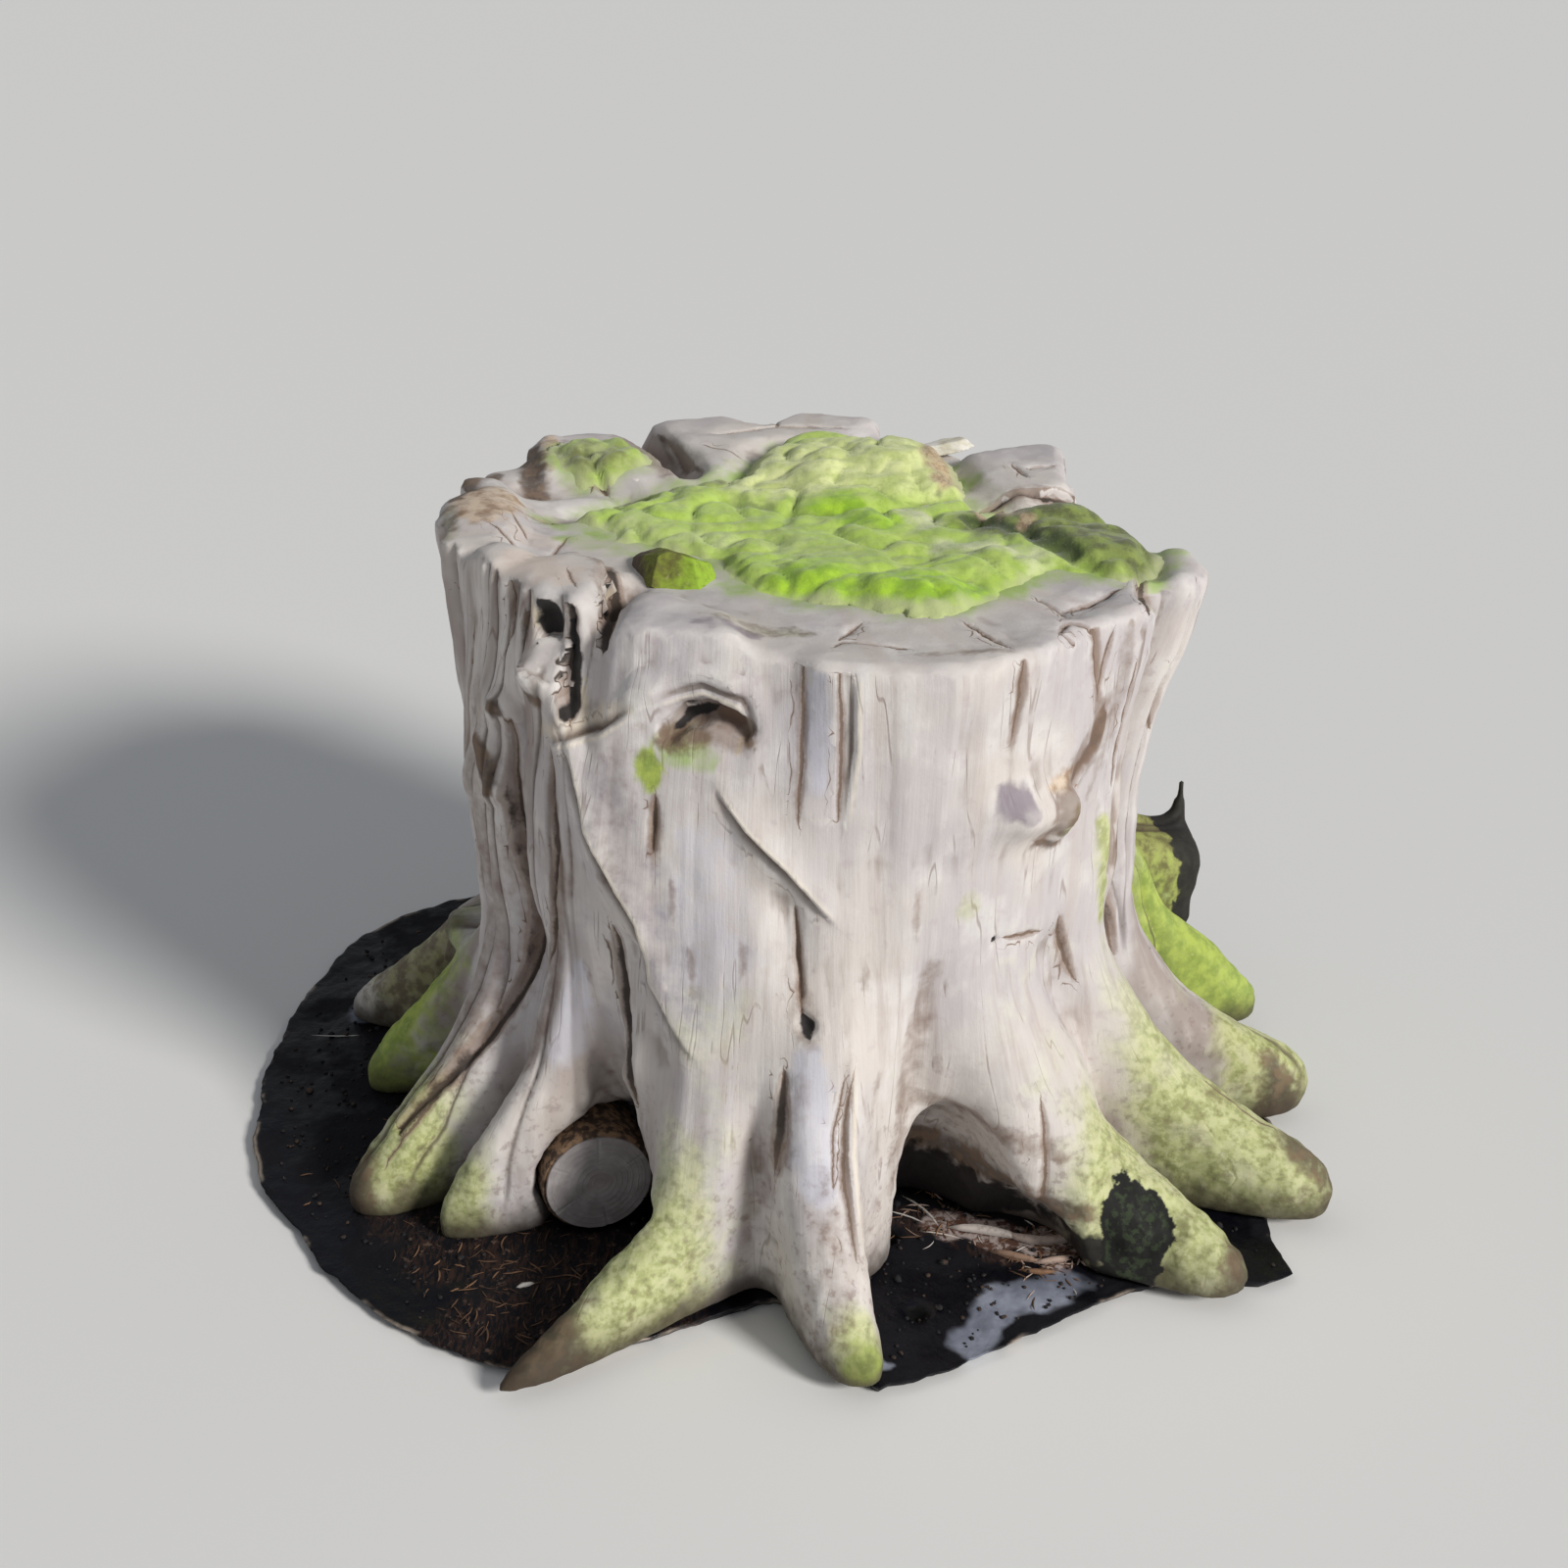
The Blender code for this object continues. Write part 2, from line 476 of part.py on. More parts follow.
def top_height(x, y):
    """Height of the sawn top, with its plates, valleys and cracks."""
    height = np.full(np.shape(x), CUT_HEIGHT)
    for outline, raised, edge in TOP_PLATES:
        inside = depth_inside(outline, x, y)
        height = height + raised * smoothstep(-edge * 0.5, edge * 0.5, inside)
    for path, half_width, raised in TOP_CRACKS:
        height = height + raised * bump(distance_to_path(path, x, y), half_width)
    return height


def trunk():
    """One closed loft: rows up the side, rings in to the middle of the top, and a flat underside."""
    azimuth = np.arange(TRUNK_SECTORS) * 360.0 / TRUNK_SECTORS
    cos, sin = np.cos(np.radians(azimuth)), np.sin(np.radians(azimuth))
    rim = side_radius(azimuth, np.full(TRUNK_SECTORS, CUT_HEIGHT + 0.004))
    rim_height = top_height(rim * cos * 0.985, rim * sin * 0.985)
    rows = []
    for row in range(TRUNK_ROWS):
        height = -0.02 + (rim_height + 0.02) * row / (TRUNK_ROWS - 1)
        radius = side_radius(azimuth, height)
        rows.append(np.stack((radius * cos, radius * sin, height), 1))
    edge = np.hypot(rows[-1][:, 0], rows[-1][:, 1])
    for ring in range(1, TOP_RINGS):
        radius = edge * (1.0 - ring / TOP_RINGS)
        x, y = radius * cos, radius * sin
        rows.append(np.stack((x, y, top_height(x, y)), 1))
    points = np.concatenate(rows)
    lumps = ripple(points, 0.07, 1) * 0.0035 + ripple(points, 0.025, 2) * 0.0015
    radial = points.copy()
    radial[:, 2] = 0.0
    radial /= np.maximum(np.linalg.norm(radial, axis=1), 0.001)[:, None]
    side = TRUNK_ROWS * TRUNK_SECTORS
    points[:side] += radial[:side] * lumps[:side, None]
    points[side:, 2] += lumps[side:] * 0.8
    count = len(rows)
    faces = []
    for row in range(count - 1):
        for sector in range(TRUNK_SECTORS):
            a = row * TRUNK_SECTORS + sector
            b = row * TRUNK_SECTORS + (sector + 1) % TRUNK_SECTORS
            faces.append((a, b, b + TRUNK_SECTORS, a + TRUNK_SECTORS))
    faces.append(tuple(reversed(range(TRUNK_SECTORS))))
    faces.append(tuple(range((count - 1) * TRUNK_SECTORS, count * TRUNK_SECTORS)))
    return add_object("trunk", points, faces)


# The roots

def smooth_path(points, steps):
    """Points along a Catmull-Rom curve through the given ones."""
    points = [np.array(p, float) for p in points]
    points = [2 * points[0] - points[1], *points, 2 * points[-1] - points[-2]]
    path = []
    for i in range(1, len(points) - 2):
        p0, p1, p2, p3 = points[i - 1:i + 3]
        for step in range(steps):
            t = step / steps
            path.append(0.5 * (2 * p1 + (p2 - p0) * t + (2 * p0 - 5 * p1 + 4 * p2 - p3) * t * t
                               + (3 * p1 - p0 - 3 * p2 + p3) * t ** 3))
    path.append(points[-2])
    return path


def limb(name, crest, start_width, end_width, grounded, seed):
    """A tapered, slightly lumpy limb whose top runs along the crest points, with a rounded tip.

    A grounded one goes straight down into the ground all along, and a free one is round.
    """
    line = []
    for azimuth, radius, height in crest:
        angle = math.radians(azimuth)
        line.append((radius * math.cos(angle), radius * math.sin(angle), height))
    path = smooth_path(line, 7)
    last = len(path) - 1
    vertices = []
    for i, point in enumerate(path):
        along = path[min(i + 1, last)] - path[max(i - 1, 0)]
        along /= np.linalg.norm(along)
        across = np.cross(along, (0.0, 0.0, 1.0))
        across /= np.linalg.norm(across)
        upwards = np.cross(across, along)
        half = 0.5 * (start_width + (end_width - start_width) * (i / last) ** 0.8)
        half *= ROOT_NARROW_START + (1.0 - ROOT_NARROW_START) * min(1.0, 3.0 * i / last)
        rounding = math.sqrt(max(0.0, 1.0 - max(0.0, (i - last + 4) / 4.4) ** 2))
        centre = point - upwards * half * 0.9
        for side in range(ROOT_SIDES):
            angle = 2 * math.pi * side / ROOT_SIDES
            spread = across * math.cos(angle) + upwards * math.sin(angle) * 0.9
            rough = 1.0 + 0.12 * noise.noise(Vector(centre + spread * half) / 0.03 + Vector((seed, 0, 0)))
            corner = centre + spread * half * rounding * rough
            if grounded and math.sin(angle) < -0.1:
                corner = centre + across * math.cos(angle) * half * rounding * ROOT_SPLAY
                corner[2] = ROOT_FOOT
            vertices.append(corner)
    faces = [tuple(reversed(range(ROOT_SIDES))), tuple(range(last * ROOT_SIDES, (last + 1) * ROOT_SIDES))]
    for i in range(last):
        for side in range(ROOT_SIDES):
            a = i * ROOT_SIDES + side
            b = i * ROOT_SIDES + (side + 1) % ROOT_SIDES
            faces.append((a, b, b + ROOT_SIDES, a + ROOT_SIDES))
    item = add_object(name, vertices, faces)
    face_outwards(item)
    return item


def join(items, name):
    """Puts closed bodies in one mesh, ready to be fused by a remesh."""
    whole = bmesh.new()
    for item in items:
        whole.from_mesh(item.data)
    mesh = bpy.data.meshes.new(name)
    whole.to_mesh(mesh)
    whole.free()
    for item in items:
        remove(item)
    joined = bpy.data.objects.new(name, mesh)
    bpy.context.scene.collection.objects.link(joined)
    return joined


def box(name, low, high):
    corners = [(x, y, z) for x in (low[0], high[0]) for y in (low[1], high[1]) for z in (low[2], high[2])]
    faces = [(0, 1, 3, 2), (4, 6, 7, 5), (0, 4, 5, 1), (2, 3, 7, 6), (0, 2, 6, 4), (1, 5, 7, 3)]
    item = add_object(name, corners, faces)
    face_outwards(item)
    return item


def trim(item, low, high):
    cutter = box("trimmer", low, high)
    subtract(item, cutter)
    remove(cutter)


def round_axis():
    angle = math.radians(ROUND_FACING)
    return Vector((math.cos(angle), math.sin(angle), 0.0))


def round_centre():
    return Vector((*ROUND_FACE_CENTRE, SEAT + ROUND_RADIUS))


def turned_round(name, profile):
    """A turned solid along the round's axis, from (distance behind the face, radius) points."""
    centre, axis = round_centre(), round_axis()
    across = Vector((0, 0, 1)).cross(axis)
    vertices = []
    for behind, radius in profile:
        for side in range(ROUND_SIDES):
            angle = 2 * math.pi * (side + 0.5) / ROUND_SIDES
            spread = across * math.cos(angle) + Vector((0, 0, 1)) * math.sin(angle)
            vertices.append(centre - axis * behind + spread * radius)
    faces = [tuple(range(ROUND_SIDES)), tuple(reversed(range(len(vertices) - ROUND_SIDES, len(vertices))))]
    for ring in range(len(profile) - 1):
        for side in range(ROUND_SIDES):
            a = ring * ROUND_SIDES + side
            b = ring * ROUND_SIDES + (side + 1) % ROUND_SIDES
            faces.append((a, a + ROUND_SIDES, b + ROUND_SIDES, b))
    item = add_object(name, vertices, faces)
    face_outwards(item)
    return item


def cut_caves(item):
    for azimuth, radius, height, half_width, half_depth, half_height in CAVES:
        angle = math.radians(azimuth)
        work = bmesh.new()
        bmesh.ops.create_icosphere(work, subdivisions=3, radius=1.0)
        mesh = bpy.data.meshes.new("cave")
        work.to_mesh(mesh)
        work.free()
        place = Matrix.Translation((radius * math.cos(angle), radius * math.sin(angle), height))
        size = Matrix.Diagonal((half_depth, half_width, half_height, 1.0))
        mesh.transform(place @ Matrix.Rotation(angle, 4, "Z") @ size)
        cutter = bpy.data.objects.new("cave", mesh)
        bpy.context.scene.collection.objects.link(cutter)
        subtract(item, cutter)
        remove(cutter)


def cut_broken_root(item):
    """Breaks the stubby root at the right off, which leaves its dark, slanting end face."""
    angle = math.radians(BROKEN_ROOT_AZIMUTH)
    cutter = box("breaker", BREAKER_LOW, BREAKER_HIGH)
    turn = Matrix.Rotation(math.radians(BROKEN_ROOT_TURN), 4, "Z")
    lean = Matrix.Rotation(math.radians(BROKEN_ROOT_LEAN), 4, "Y")
    place = Matrix.Translation((BROKEN_ROOT_FACE, 0.0, BROKEN_ROOT_MIDDLE))
    cutter.data.transform(Matrix.Rotation(angle, 4, "Z") @ place @ turn @ lean)
    subtract(item, cutter)
    remove(cutter)


def stump():
    limbs = [limb(f"root_{i}", *sizes, True, i) for i, sizes in enumerate(ROOTS)]
    limbs += [limb(f"free_limb_{i}", *sizes, False, 50 + i) for i, sizes in enumerate(FREE_LIMBS)]
    item = join([trunk(), *limbs], "stump")
    apply_modifier(item, "REMESH", mode="VOXEL", voxel_size=VOXEL)
    keep_largest_body(item)
    cut_caves(item)
    cut_broken_root(item)
    apply_modifier(item, "REMESH", mode="VOXEL", voxel_size=VOXEL)
    keep_largest_body(item)
    relax(item)
    trim(item, (-1, -1, -1), (1, 1, SEAT))
    clearance = turned_round("clearance", [(-0.10, ROUND_RADIUS + ROUND_CLEARANCE),
                                           (ROUND_LENGTH + ROUND_CLEARANCE, ROUND_RADIUS + ROUND_CLEARANCE)])
    subtract(item, clearance)
    remove(clearance)
    keep_largest_body(item)
    triangulate(item)
    apply_modifier(item, "DECIMATE", ratio=STUMP_TRIANGLES / len(item.data.polygons))
    flatten_underside(item)
    face_outwards(item)
    item.data.materials.append(material("weathered_wood", (0.55, 0.50, 0.49), 0.85))
    return item


def flatten_underside(item):
    """Puts what lies on the seat exactly on it, as thinning the mesh may have tilted it a little."""
    for vertex in item.data.vertices:
        if vertex.co.z < SEAT + 0.0008:
            vertex.co.z = SEAT


# The soil and what lies under the arch

def soil():
    azimuth = np.arange(SOIL_SECTORS) * 360.0 / SOIL_SECTORS - 180.0
    edge = polar_radius(SOIL_OUTLINE, azimuth)
    cos, sin = np.cos(np.radians(azimuth)), np.sin(np.radians(azimuth))
    vertices = [(0.0, 0.0, SOIL_TOP), (0.0, 0.0, 0.0)]
    for ring in range(1, SOIL_RINGS + 1):
        share = (ring / SOIL_RINGS) ** 0.6
        x, y = edge * share * cos, edge * share * sin
        thin = (SOIL_TOP - SOIL_EDGE) * smoothstep(0.90, 1.0, np.full(SOIL_SECTORS, share))
        height = SOIL_TOP - thin
        for pit_x, pit_y, pit_radius in SOIL_PITS:
            height = height - PIT_DEPTH * bump(np.hypot(x - pit_x, y - pit_y), pit_radius * 1.3)
        vertices.extend(zip(x, y, np.maximum(height, SOIL_EDGE * 0.8)))
    first_bottom = len(vertices)
    vertices.extend(zip(edge * cos, edge * sin, np.zeros(SOIL_SECTORS)))
    faces = []
    for sector in range(SOIL_SECTORS):
        after = (sector + 1) % SOIL_SECTORS
        faces.append((0, 2 + sector, 2 + after))
        faces.append((1, first_bottom + after, first_bottom + sector))
        for ring in range(SOIL_RINGS):
            a = 2 + ring * SOIL_SECTORS
            b = a + SOIL_SECTORS
            faces.append((a + sector, b + sector, b + after, a + after))
    item = add_object("soil", vertices, faces)
    triangulate(item)
    face_outwards(item)
    item.data.materials.append(material("dark_soil", (0.012, 0.011, 0.013), 0.9))
    return item


def sawn_root():
    """The short round, its bark standing a little behind its sawn face."""
    profile = [(0.0, ROUND_WOOD_RADIUS), (0.003, ROUND_WOOD_RADIUS), (0.003, ROUND_RADIUS),
               (ROUND_LENGTH, ROUND_RADIUS)]
    item = turned_round("sawn_root", profile)
    item.data.materials.append(material("root_wood", (0.34, 0.29, 0.31), 0.8))
    return item


# Moss and loose wood on the top

def pad(name, outline, centre, lumps, thickness, sectors, rings):
    """A lumpy cushion on the sawn top, with a low upright wall round its outline and its foot in the wood."""
    outline = [np.array(p) - centre for p in outline]
    polar = [(math.degrees(math.atan2(p[1], p[0])), float(np.hypot(*p))) for p in outline]
    azimuth = np.arange(sectors) * 360.0 / sectors - 180.0
    edge = polar_radius(polar, azimuth)
    cos, sin = np.cos(np.radians(azimuth)), np.sin(np.radians(azimuth))
    vertices = [(*centre, CUT_HEIGHT - MOSS_ROOT_DEPTH)]
    for ring in range(1, rings + 1):
        share = (ring / rings) ** 0.8
        x, y = centre[0] + edge * share * cos, centre[1] + edge * share * sin
        height = top_height(x, y) + MOSS_WALL + (thickness - MOSS_WALL) * (1.0 - share ** 6)
        for lump_x, lump_y, lump_radius, lump_height in lumps:
            height = height + lump_height * bump(np.hypot(x - lump_x, y - lump_y), lump_radius * 1.25)
        points = np.stack((x, y, height), 1)
        points[:, 2] += 0.0022 * ripple(points, 0.022, 9) * (1.0 - share ** 8) * min(1.0, ring / 4)
        vertices.extend(points)
    middle = np.mean([vertices[1 + i] for i in range(sectors)], axis=0)
    vertices.append((*centre, middle[2]))
    top = len(vertices) - 1
    foot = len(vertices)
    outer = vertices[1 + (rings - 1) * sectors:1 + rings * sectors]
    vertices.extend((p[0], p[1], CUT_HEIGHT - MOSS_ROOT_DEPTH) for p in outer)
    faces = []
    for sector in range(sectors):
        after = (sector + 1) % sectors
        faces.append((top, 1 + sector, 1 + after))
        faces.append((0, foot + after, foot + sector))
        last = 1 + (rings - 1) * sectors
        faces.append((last + sector, foot + sector, foot + after, last + after))
        for ring in range(rings - 1):
            a = 1 + ring * sectors
            faces.append((a + sector, a + sectors + sector, a + sectors + after, a + after))
    item = add_object(name, vertices, faces)
    triangulate(item)
    face_outwards(item)
    return item


def swollen_copy(item):
    """A copy of a piece, a little larger all round, that leaves the gap when it cuts a neighbour."""
    copy = bpy.data.objects.new("swollen", item.data.copy())
    bpy.context.scene.collection.objects.link(copy)
    apply_modifier(copy, "DISPLACE", strength=MOSS_GAP, mid_level=0.0)
    return copy


def splinter():
    length, width, thickness = SPLINTER_SIZE
    outline = [(-0.5, -0.30), (-0.20, -0.5), (0.30, -0.44), (0.5, -0.10), (0.42, 0.36), (0.05, 0.5), (-0.38, 0.30)]
    vertices = []
    for level, shrink in ((-0.5, 1.0), (0.5, 0.72)):
        for x, y in outline:
            vertices.append((x * length * shrink, y * width * shrink, level * thickness))
    count = len(outline)
    faces = [tuple(reversed(range(count))), tuple(range(count, 2 * count))]
    faces += [(i, (i + 1) % count, count + (i + 1) % count, count + i) for i in range(count)]
    item = add_object("splinter", vertices, faces)
    tilt = Matrix.Rotation(math.radians(-SPLINTER_RISE), 4, "Y")
    turn = Matrix.Rotation(math.radians(SPLINTER_HEADING), 4, "Z")
    place = Matrix.Translation((*SPLINTER_PLACE, CUT_HEIGHT + SPLINTER_HEIGHT))
    item.data.transform(place @ turn @ tilt)
    face_outwards(item)
    item.data.materials.append(material("splinter_wood", (0.72, 0.70, 0.66), 0.8))
    return item


def top_pieces(stump_piece):
    cushion = pad("moss_cushion", CUSHION_OUTLINE, CUSHION_CENTRE, CUSHION_LUMPS, CUSHION_THICKNESS, 72, 11)
    cushion.data.materials.append(material("moss", (0.30, 0.48, 0.06), 0.95))
    left = pad("moss_left", LEFT_MOSS_OUTLINE, LEFT_MOSS_CENTRE, LEFT_MOSS_LUMPS, LEFT_MOSS_THICKNESS, 28, 5)
    left.data.materials.append(material("olive_moss", (0.20, 0.25, 0.06), 0.95))
    chip = pad("mossy_chip", CHIP_OUTLINE, CHIP_CENTRE, CHIP_LUMPS, CHIP_THICKNESS, 28, 5)
    chip.data.materials.append(material("mossy_wood", (0.16, 0.19, 0.04), 0.9))
    loose = splinter()
    wood = swollen_copy(stump_piece)
    for piece in (cushion, left, chip, loose):
        subtract(piece, wood)
        keep_largest_body(piece)
    remove(wood)
    return cushion, left, chip, loose


def main():
    clear_scene()
    soil()
    sawn_root()
    top_pieces(stump())


main()
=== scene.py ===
"""The looks of a weathered tree stump on its thin slab of dark soil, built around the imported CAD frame.

Each piece takes its form from its CAD solid and adds finer relief, painted masks and a procedural material.
Side features are placed by (azimuth, height), top features by (x, y) and root features by (azimuth, radius),
with azimuth 0 at +X and -90 at the front. All angles are in degrees and all lengths in metres, apart from the
camera's lens and sensor in millimetres.
"""
import contextlib
import itertools
import math

import bmesh
import bpy
import numpy as np
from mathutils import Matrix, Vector
from mathutils.bvhtree import BVHTree
from mathutils.kdtree import KDTree


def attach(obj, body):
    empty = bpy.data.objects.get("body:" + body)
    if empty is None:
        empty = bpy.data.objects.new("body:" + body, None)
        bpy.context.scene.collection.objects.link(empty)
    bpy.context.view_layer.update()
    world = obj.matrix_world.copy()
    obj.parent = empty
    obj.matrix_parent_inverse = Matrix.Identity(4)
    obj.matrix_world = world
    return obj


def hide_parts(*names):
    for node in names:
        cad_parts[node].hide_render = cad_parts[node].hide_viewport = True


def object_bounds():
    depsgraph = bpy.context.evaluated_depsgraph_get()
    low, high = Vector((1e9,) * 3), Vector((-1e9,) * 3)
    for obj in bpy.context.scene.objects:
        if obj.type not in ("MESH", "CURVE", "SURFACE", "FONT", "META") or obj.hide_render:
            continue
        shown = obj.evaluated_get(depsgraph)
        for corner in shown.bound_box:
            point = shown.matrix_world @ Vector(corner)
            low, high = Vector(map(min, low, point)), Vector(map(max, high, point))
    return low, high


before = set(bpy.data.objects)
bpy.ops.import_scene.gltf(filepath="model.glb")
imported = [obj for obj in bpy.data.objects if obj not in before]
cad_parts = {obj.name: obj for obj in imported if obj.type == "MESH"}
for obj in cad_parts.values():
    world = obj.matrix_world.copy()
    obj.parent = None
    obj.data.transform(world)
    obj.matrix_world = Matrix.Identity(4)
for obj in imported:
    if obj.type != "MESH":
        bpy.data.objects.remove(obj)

CAD_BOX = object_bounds()

CUT_HEIGHT = 0.500
TOP_LIMIT = 0.5310
SOIL_TOP = 0.012

# What counts as the top, the side and the roots
TOP_FROM = 0.455
TOP_FACING = 0.35
SIDE_REACH = 0.345
ROOTS_FROM = 0.235
ROOTS_BELOW = 0.26
ARC_RADIUS = 0.26

# The light comes from the front right, high and soft
SUN_DIRECTION = (0.78, -0.66, 0.55)
SUN_STRENGTH = 2.9
SUN_SOFTNESS = 14
SUN_COLOUR = (1.0, 0.97, 0.93)
SKY_STRENGTH = 0.25
SKY_COLOUR = (0.90, 0.94, 1.0, 1.0)
FLOOR_COLOUR = (0.90, 0.90, 0.89)
FLOOR_REACH = 60.0
FLOOR_DROP = 0.0005

# The camera stands where the photograph was taken from
CAMERA_PLACE = (-0.006, -1.5705, 1.0471)
CAMERA_TARGET = (-0.006, 0.0, 0.298)
CAMERA_LENS = 50
CAMERA_SENSOR = 36

# The fine mesh of the wood, the shade in its crevices, and the relief of its folds and grain
WOOD_VOXEL = 0.0048
WOOD_TRIANGLES = 192000
SHADE_RAYS = 12
SHADE_REACH = 0.060
SHADE_SPREAD = 0.86
SHADE_START = 0.0012
FOLD_SIZE = (0.024, 0.024, 0.55)
FOLD_HEIGHT = 0.0062
FOLD_SINK = 0.0040
RIB_SIZE = (0.016, 0.016, 0.22)
RIB_HEIGHT = 0.0012
RIDGE_SIZE = (0.0075, 0.0075, 0.12)
RIDGE_HEIGHT = 0.0007
FOOT_SINK = 0.0035

# All noise comes from one seed, and the litter and the crumbs are strewn by seeds of their own
NOISE_SEED = 11
NOISE_SHIFT = 17.31
NOISE_GAIN = 1.6
LITTER_SEED = 81
CRUMB_SEED = 91

# Thin cracks, as (path, half width, depth)
CRACK_REACH = 0.012
CRACKS = {
    "side": [
        ([(-149, 0.41), (-147, 0.33), (-144.5, 0.27), (-146.5, 0.21), (-149, 0.15), (-152, 0.09),
          (-153, 0.05)], 0.0048, 0.008),
        ([(-163, 0.46), (-163, 0.33), (-158, 0.23)], 0.0022, 0.004),
        ([(-134, 0.41), (-133.8, 0.372), (-133.1, 0.337), (-135, 0.269), (-139, 0.21)], 0.0032, 0.005),
        ([(-121.5, 0.285), (-120.5, 0.215), (-117.5, 0.14)], 0.005, 0.007),
        ([(-141, 0.32), (-142, 0.24)], 0.0016, 0.002), ([(-112.8, 0.395), (-112.9, 0.355)], 0.0026, 0.003),
        ([(-149.7, 0.52), (-148.1, 0.481), (-149.6, 0.461)], 0.0028, 0.004),
        ([(-131.5, 0.53), (-133, 0.47), (-130.1, 0.435)], 0.006, 0.009),
        ([(-88.4, 0.5), (-88.2, 0.464), (-89.2, 0.384)], 0.0019, 0.0015),
        ([(-82.8, 0.505), (-82.4, 0.444), (-82.9, 0.388)], 0.0016, 0.0015),
        ([(-55.1, 0.5), (-56, 0.435)], 0.0015, 0.0015), ([(-38.1, 0.5), (-37.5, 0.441)], 0.0016, 0.003),
        ([(-37.5, 0.441), (-34.4, 0.49)], 0.0014, 0.002),
        ([(-19, 0.51), (-18, 0.44), (-17, 0.37), (-16.5, 0.3), (-18, 0.24), (-15, 0.18)], 0.0048, 0.006),
        ([(-26, 0.4), (-27, 0.32)], 0.0018, 0.003), ([(-29, 0.46), (-30, 0.36)], 0.0012, 0.002),
        ([(-12.5, 0.43), (-11, 0.37)], 0.0016, 0.002),
        ([(-54.3, 0.276), (-50, 0.272), (-45.4, 0.267)], 0.0013, 0.003),
        ([(-40.5, 0.27), (-35.7, 0.208)], 0.0024, 0.003),
        ([(-89.5, 0.32), (-88.7, 0.264), (-88.6, 0.24)], 0.002, 0.004),
        ([(-81, 0.208), (-83, 0.173), (-83.3, 0.135), (-82.2, 0.084)], 0.0012, 0.002),
        ([(-82.5, 0.205), (-84.6, 0.17), (-84.8, 0.13)], 0.0009, 0.001),
        ([(-91.2, 0.205), (-91.7, 0.162), (-92.6, 0.128)], 0.0034, 0.006),
        ([(26, 0.33), (26, 0.18)], 0.0034, 0.005), ([(12, 0.52), (14, 0.4), (10, 0.3)], 0.0034, 0.005),
        ([(52, 0.49), (50, 0.28), (46, 0.08)], 0.0034, 0.005),
        ([(72, 0.48), (74, 0.3), (78, 0.14)], 0.003, 0.004),
        ([(95, 0.52), (92, 0.32), (84, 0.08)], 0.0036, 0.005),
        ([(118, 0.46), (116, 0.24), (113, 0.08)], 0.0034, 0.005),
        ([(138, 0.5), (136, 0.3), (140, 0.08)], 0.0034, 0.005),
        ([(160, 0.5), (158, 0.26), (160, 0.1)], 0.0034, 0.005),
        ([(178, 0.47), (176, 0.28), (178, 0.16)], 0.0028, 0.004),
        ([(-173, 0.47), (-171, 0.3), (-168, 0.17)], 0.0028, 0.004),
    ],
    "top": [
        ([(-0.142, 0.3), (-0.112, 0.225), (-0.092, 0.165)], 0.007, 0.008),
        ([(-0.176, 0.19), (-0.15, 0.135)], 0.004, 0.005),
        ([(-0.205, 0.052), (-0.18, 0.056)], 0.0022, 0.003),
        ([(-0.229, 0.002), (-0.197, -0.037), (-0.181, -0.04), (-0.171, 0.014)], 0.0011, 0.002),
        ([(-0.215, 0.03), (-0.2, -0.004)], 0.0009, 0.001),
        ([(-0.186, -0.075), (-0.16, -0.068), (-0.13, -0.08)], 0.0015, 0.003),
        ([(-0.137, -0.06), (-0.126, -0.105), (-0.126, -0.15), (-0.134, -0.2)], 0.0055, 0.008),
        ([(-0.16, -0.11), (-0.15, -0.15)], 0.0009, 0.001),
        ([(0.181, 0.154), (0.19, 0.123)], 0.0013, 0.003), ([(0.192, 0.146), (0.216, 0.157)], 0.0013, 0.003),
        ([(0.15, 0.078), (0.168, 0.088), (0.2, 0.09), (0.23, 0.112)], 0.004, 0.006),
        ([(0.165, 0.03), (0.186, -0.02)], 0.0014, 0.002),
        ([(0.119, -0.164), (0.133, -0.19), (0.146, -0.211)], 0.0012, 0.003),
        ([(0.173, -0.112), (0.189, -0.136), (0.192, -0.151)], 0.0013, 0.003),
        ([(0.189, -0.134), (0.21, -0.122), (0.237, -0.094)], 0.0014, 0.003),
        ([(0.181, -0.186), (0.19, -0.164), (0.204, -0.164), (0.212, -0.172)], 0.0013, 0.003),
        ([(0.181, -0.186), (0.205, -0.19)], 0.0011, 0.002),
        ([(0.027, -0.21), (0.034, -0.197), (0.08, -0.21)], 0.001, 0.002),
        ([(0.031, -0.195), (0.048, -0.164)], 0.0009, 0.002),
        ([(-0.07, 0.26), (-0.01, 0.285), (0.05, 0.28)], 0.0012, 0.003),
        ([(-0.02, 0.325), (-0.01, 0.285)], 0.001, 0.002),
        ([(-0.04, 0.2), (-0.075, 0.225)], 0.0009, 0.001),
        ([(0.258, -0.04), (0.25, -0.11), (0.262, -0.16)], 0.003, 0.005),
    ],
    "root": [
        ([(-53, 0.3), (-53, 0.314)], 0.0014, 0.002), ([(-150, 0.3), (-151, 0.36)], 0.0011, 0.001),
        ([(-40, 0.3), (-37, 0.36)], 0.001, 0.001), ([(-24, 0.35), (-22.5, 0.41)], 0.001, 0.001),
        ([(8, 0.4), (12, 0.42)], 0.003, 0.003),
    ],
}

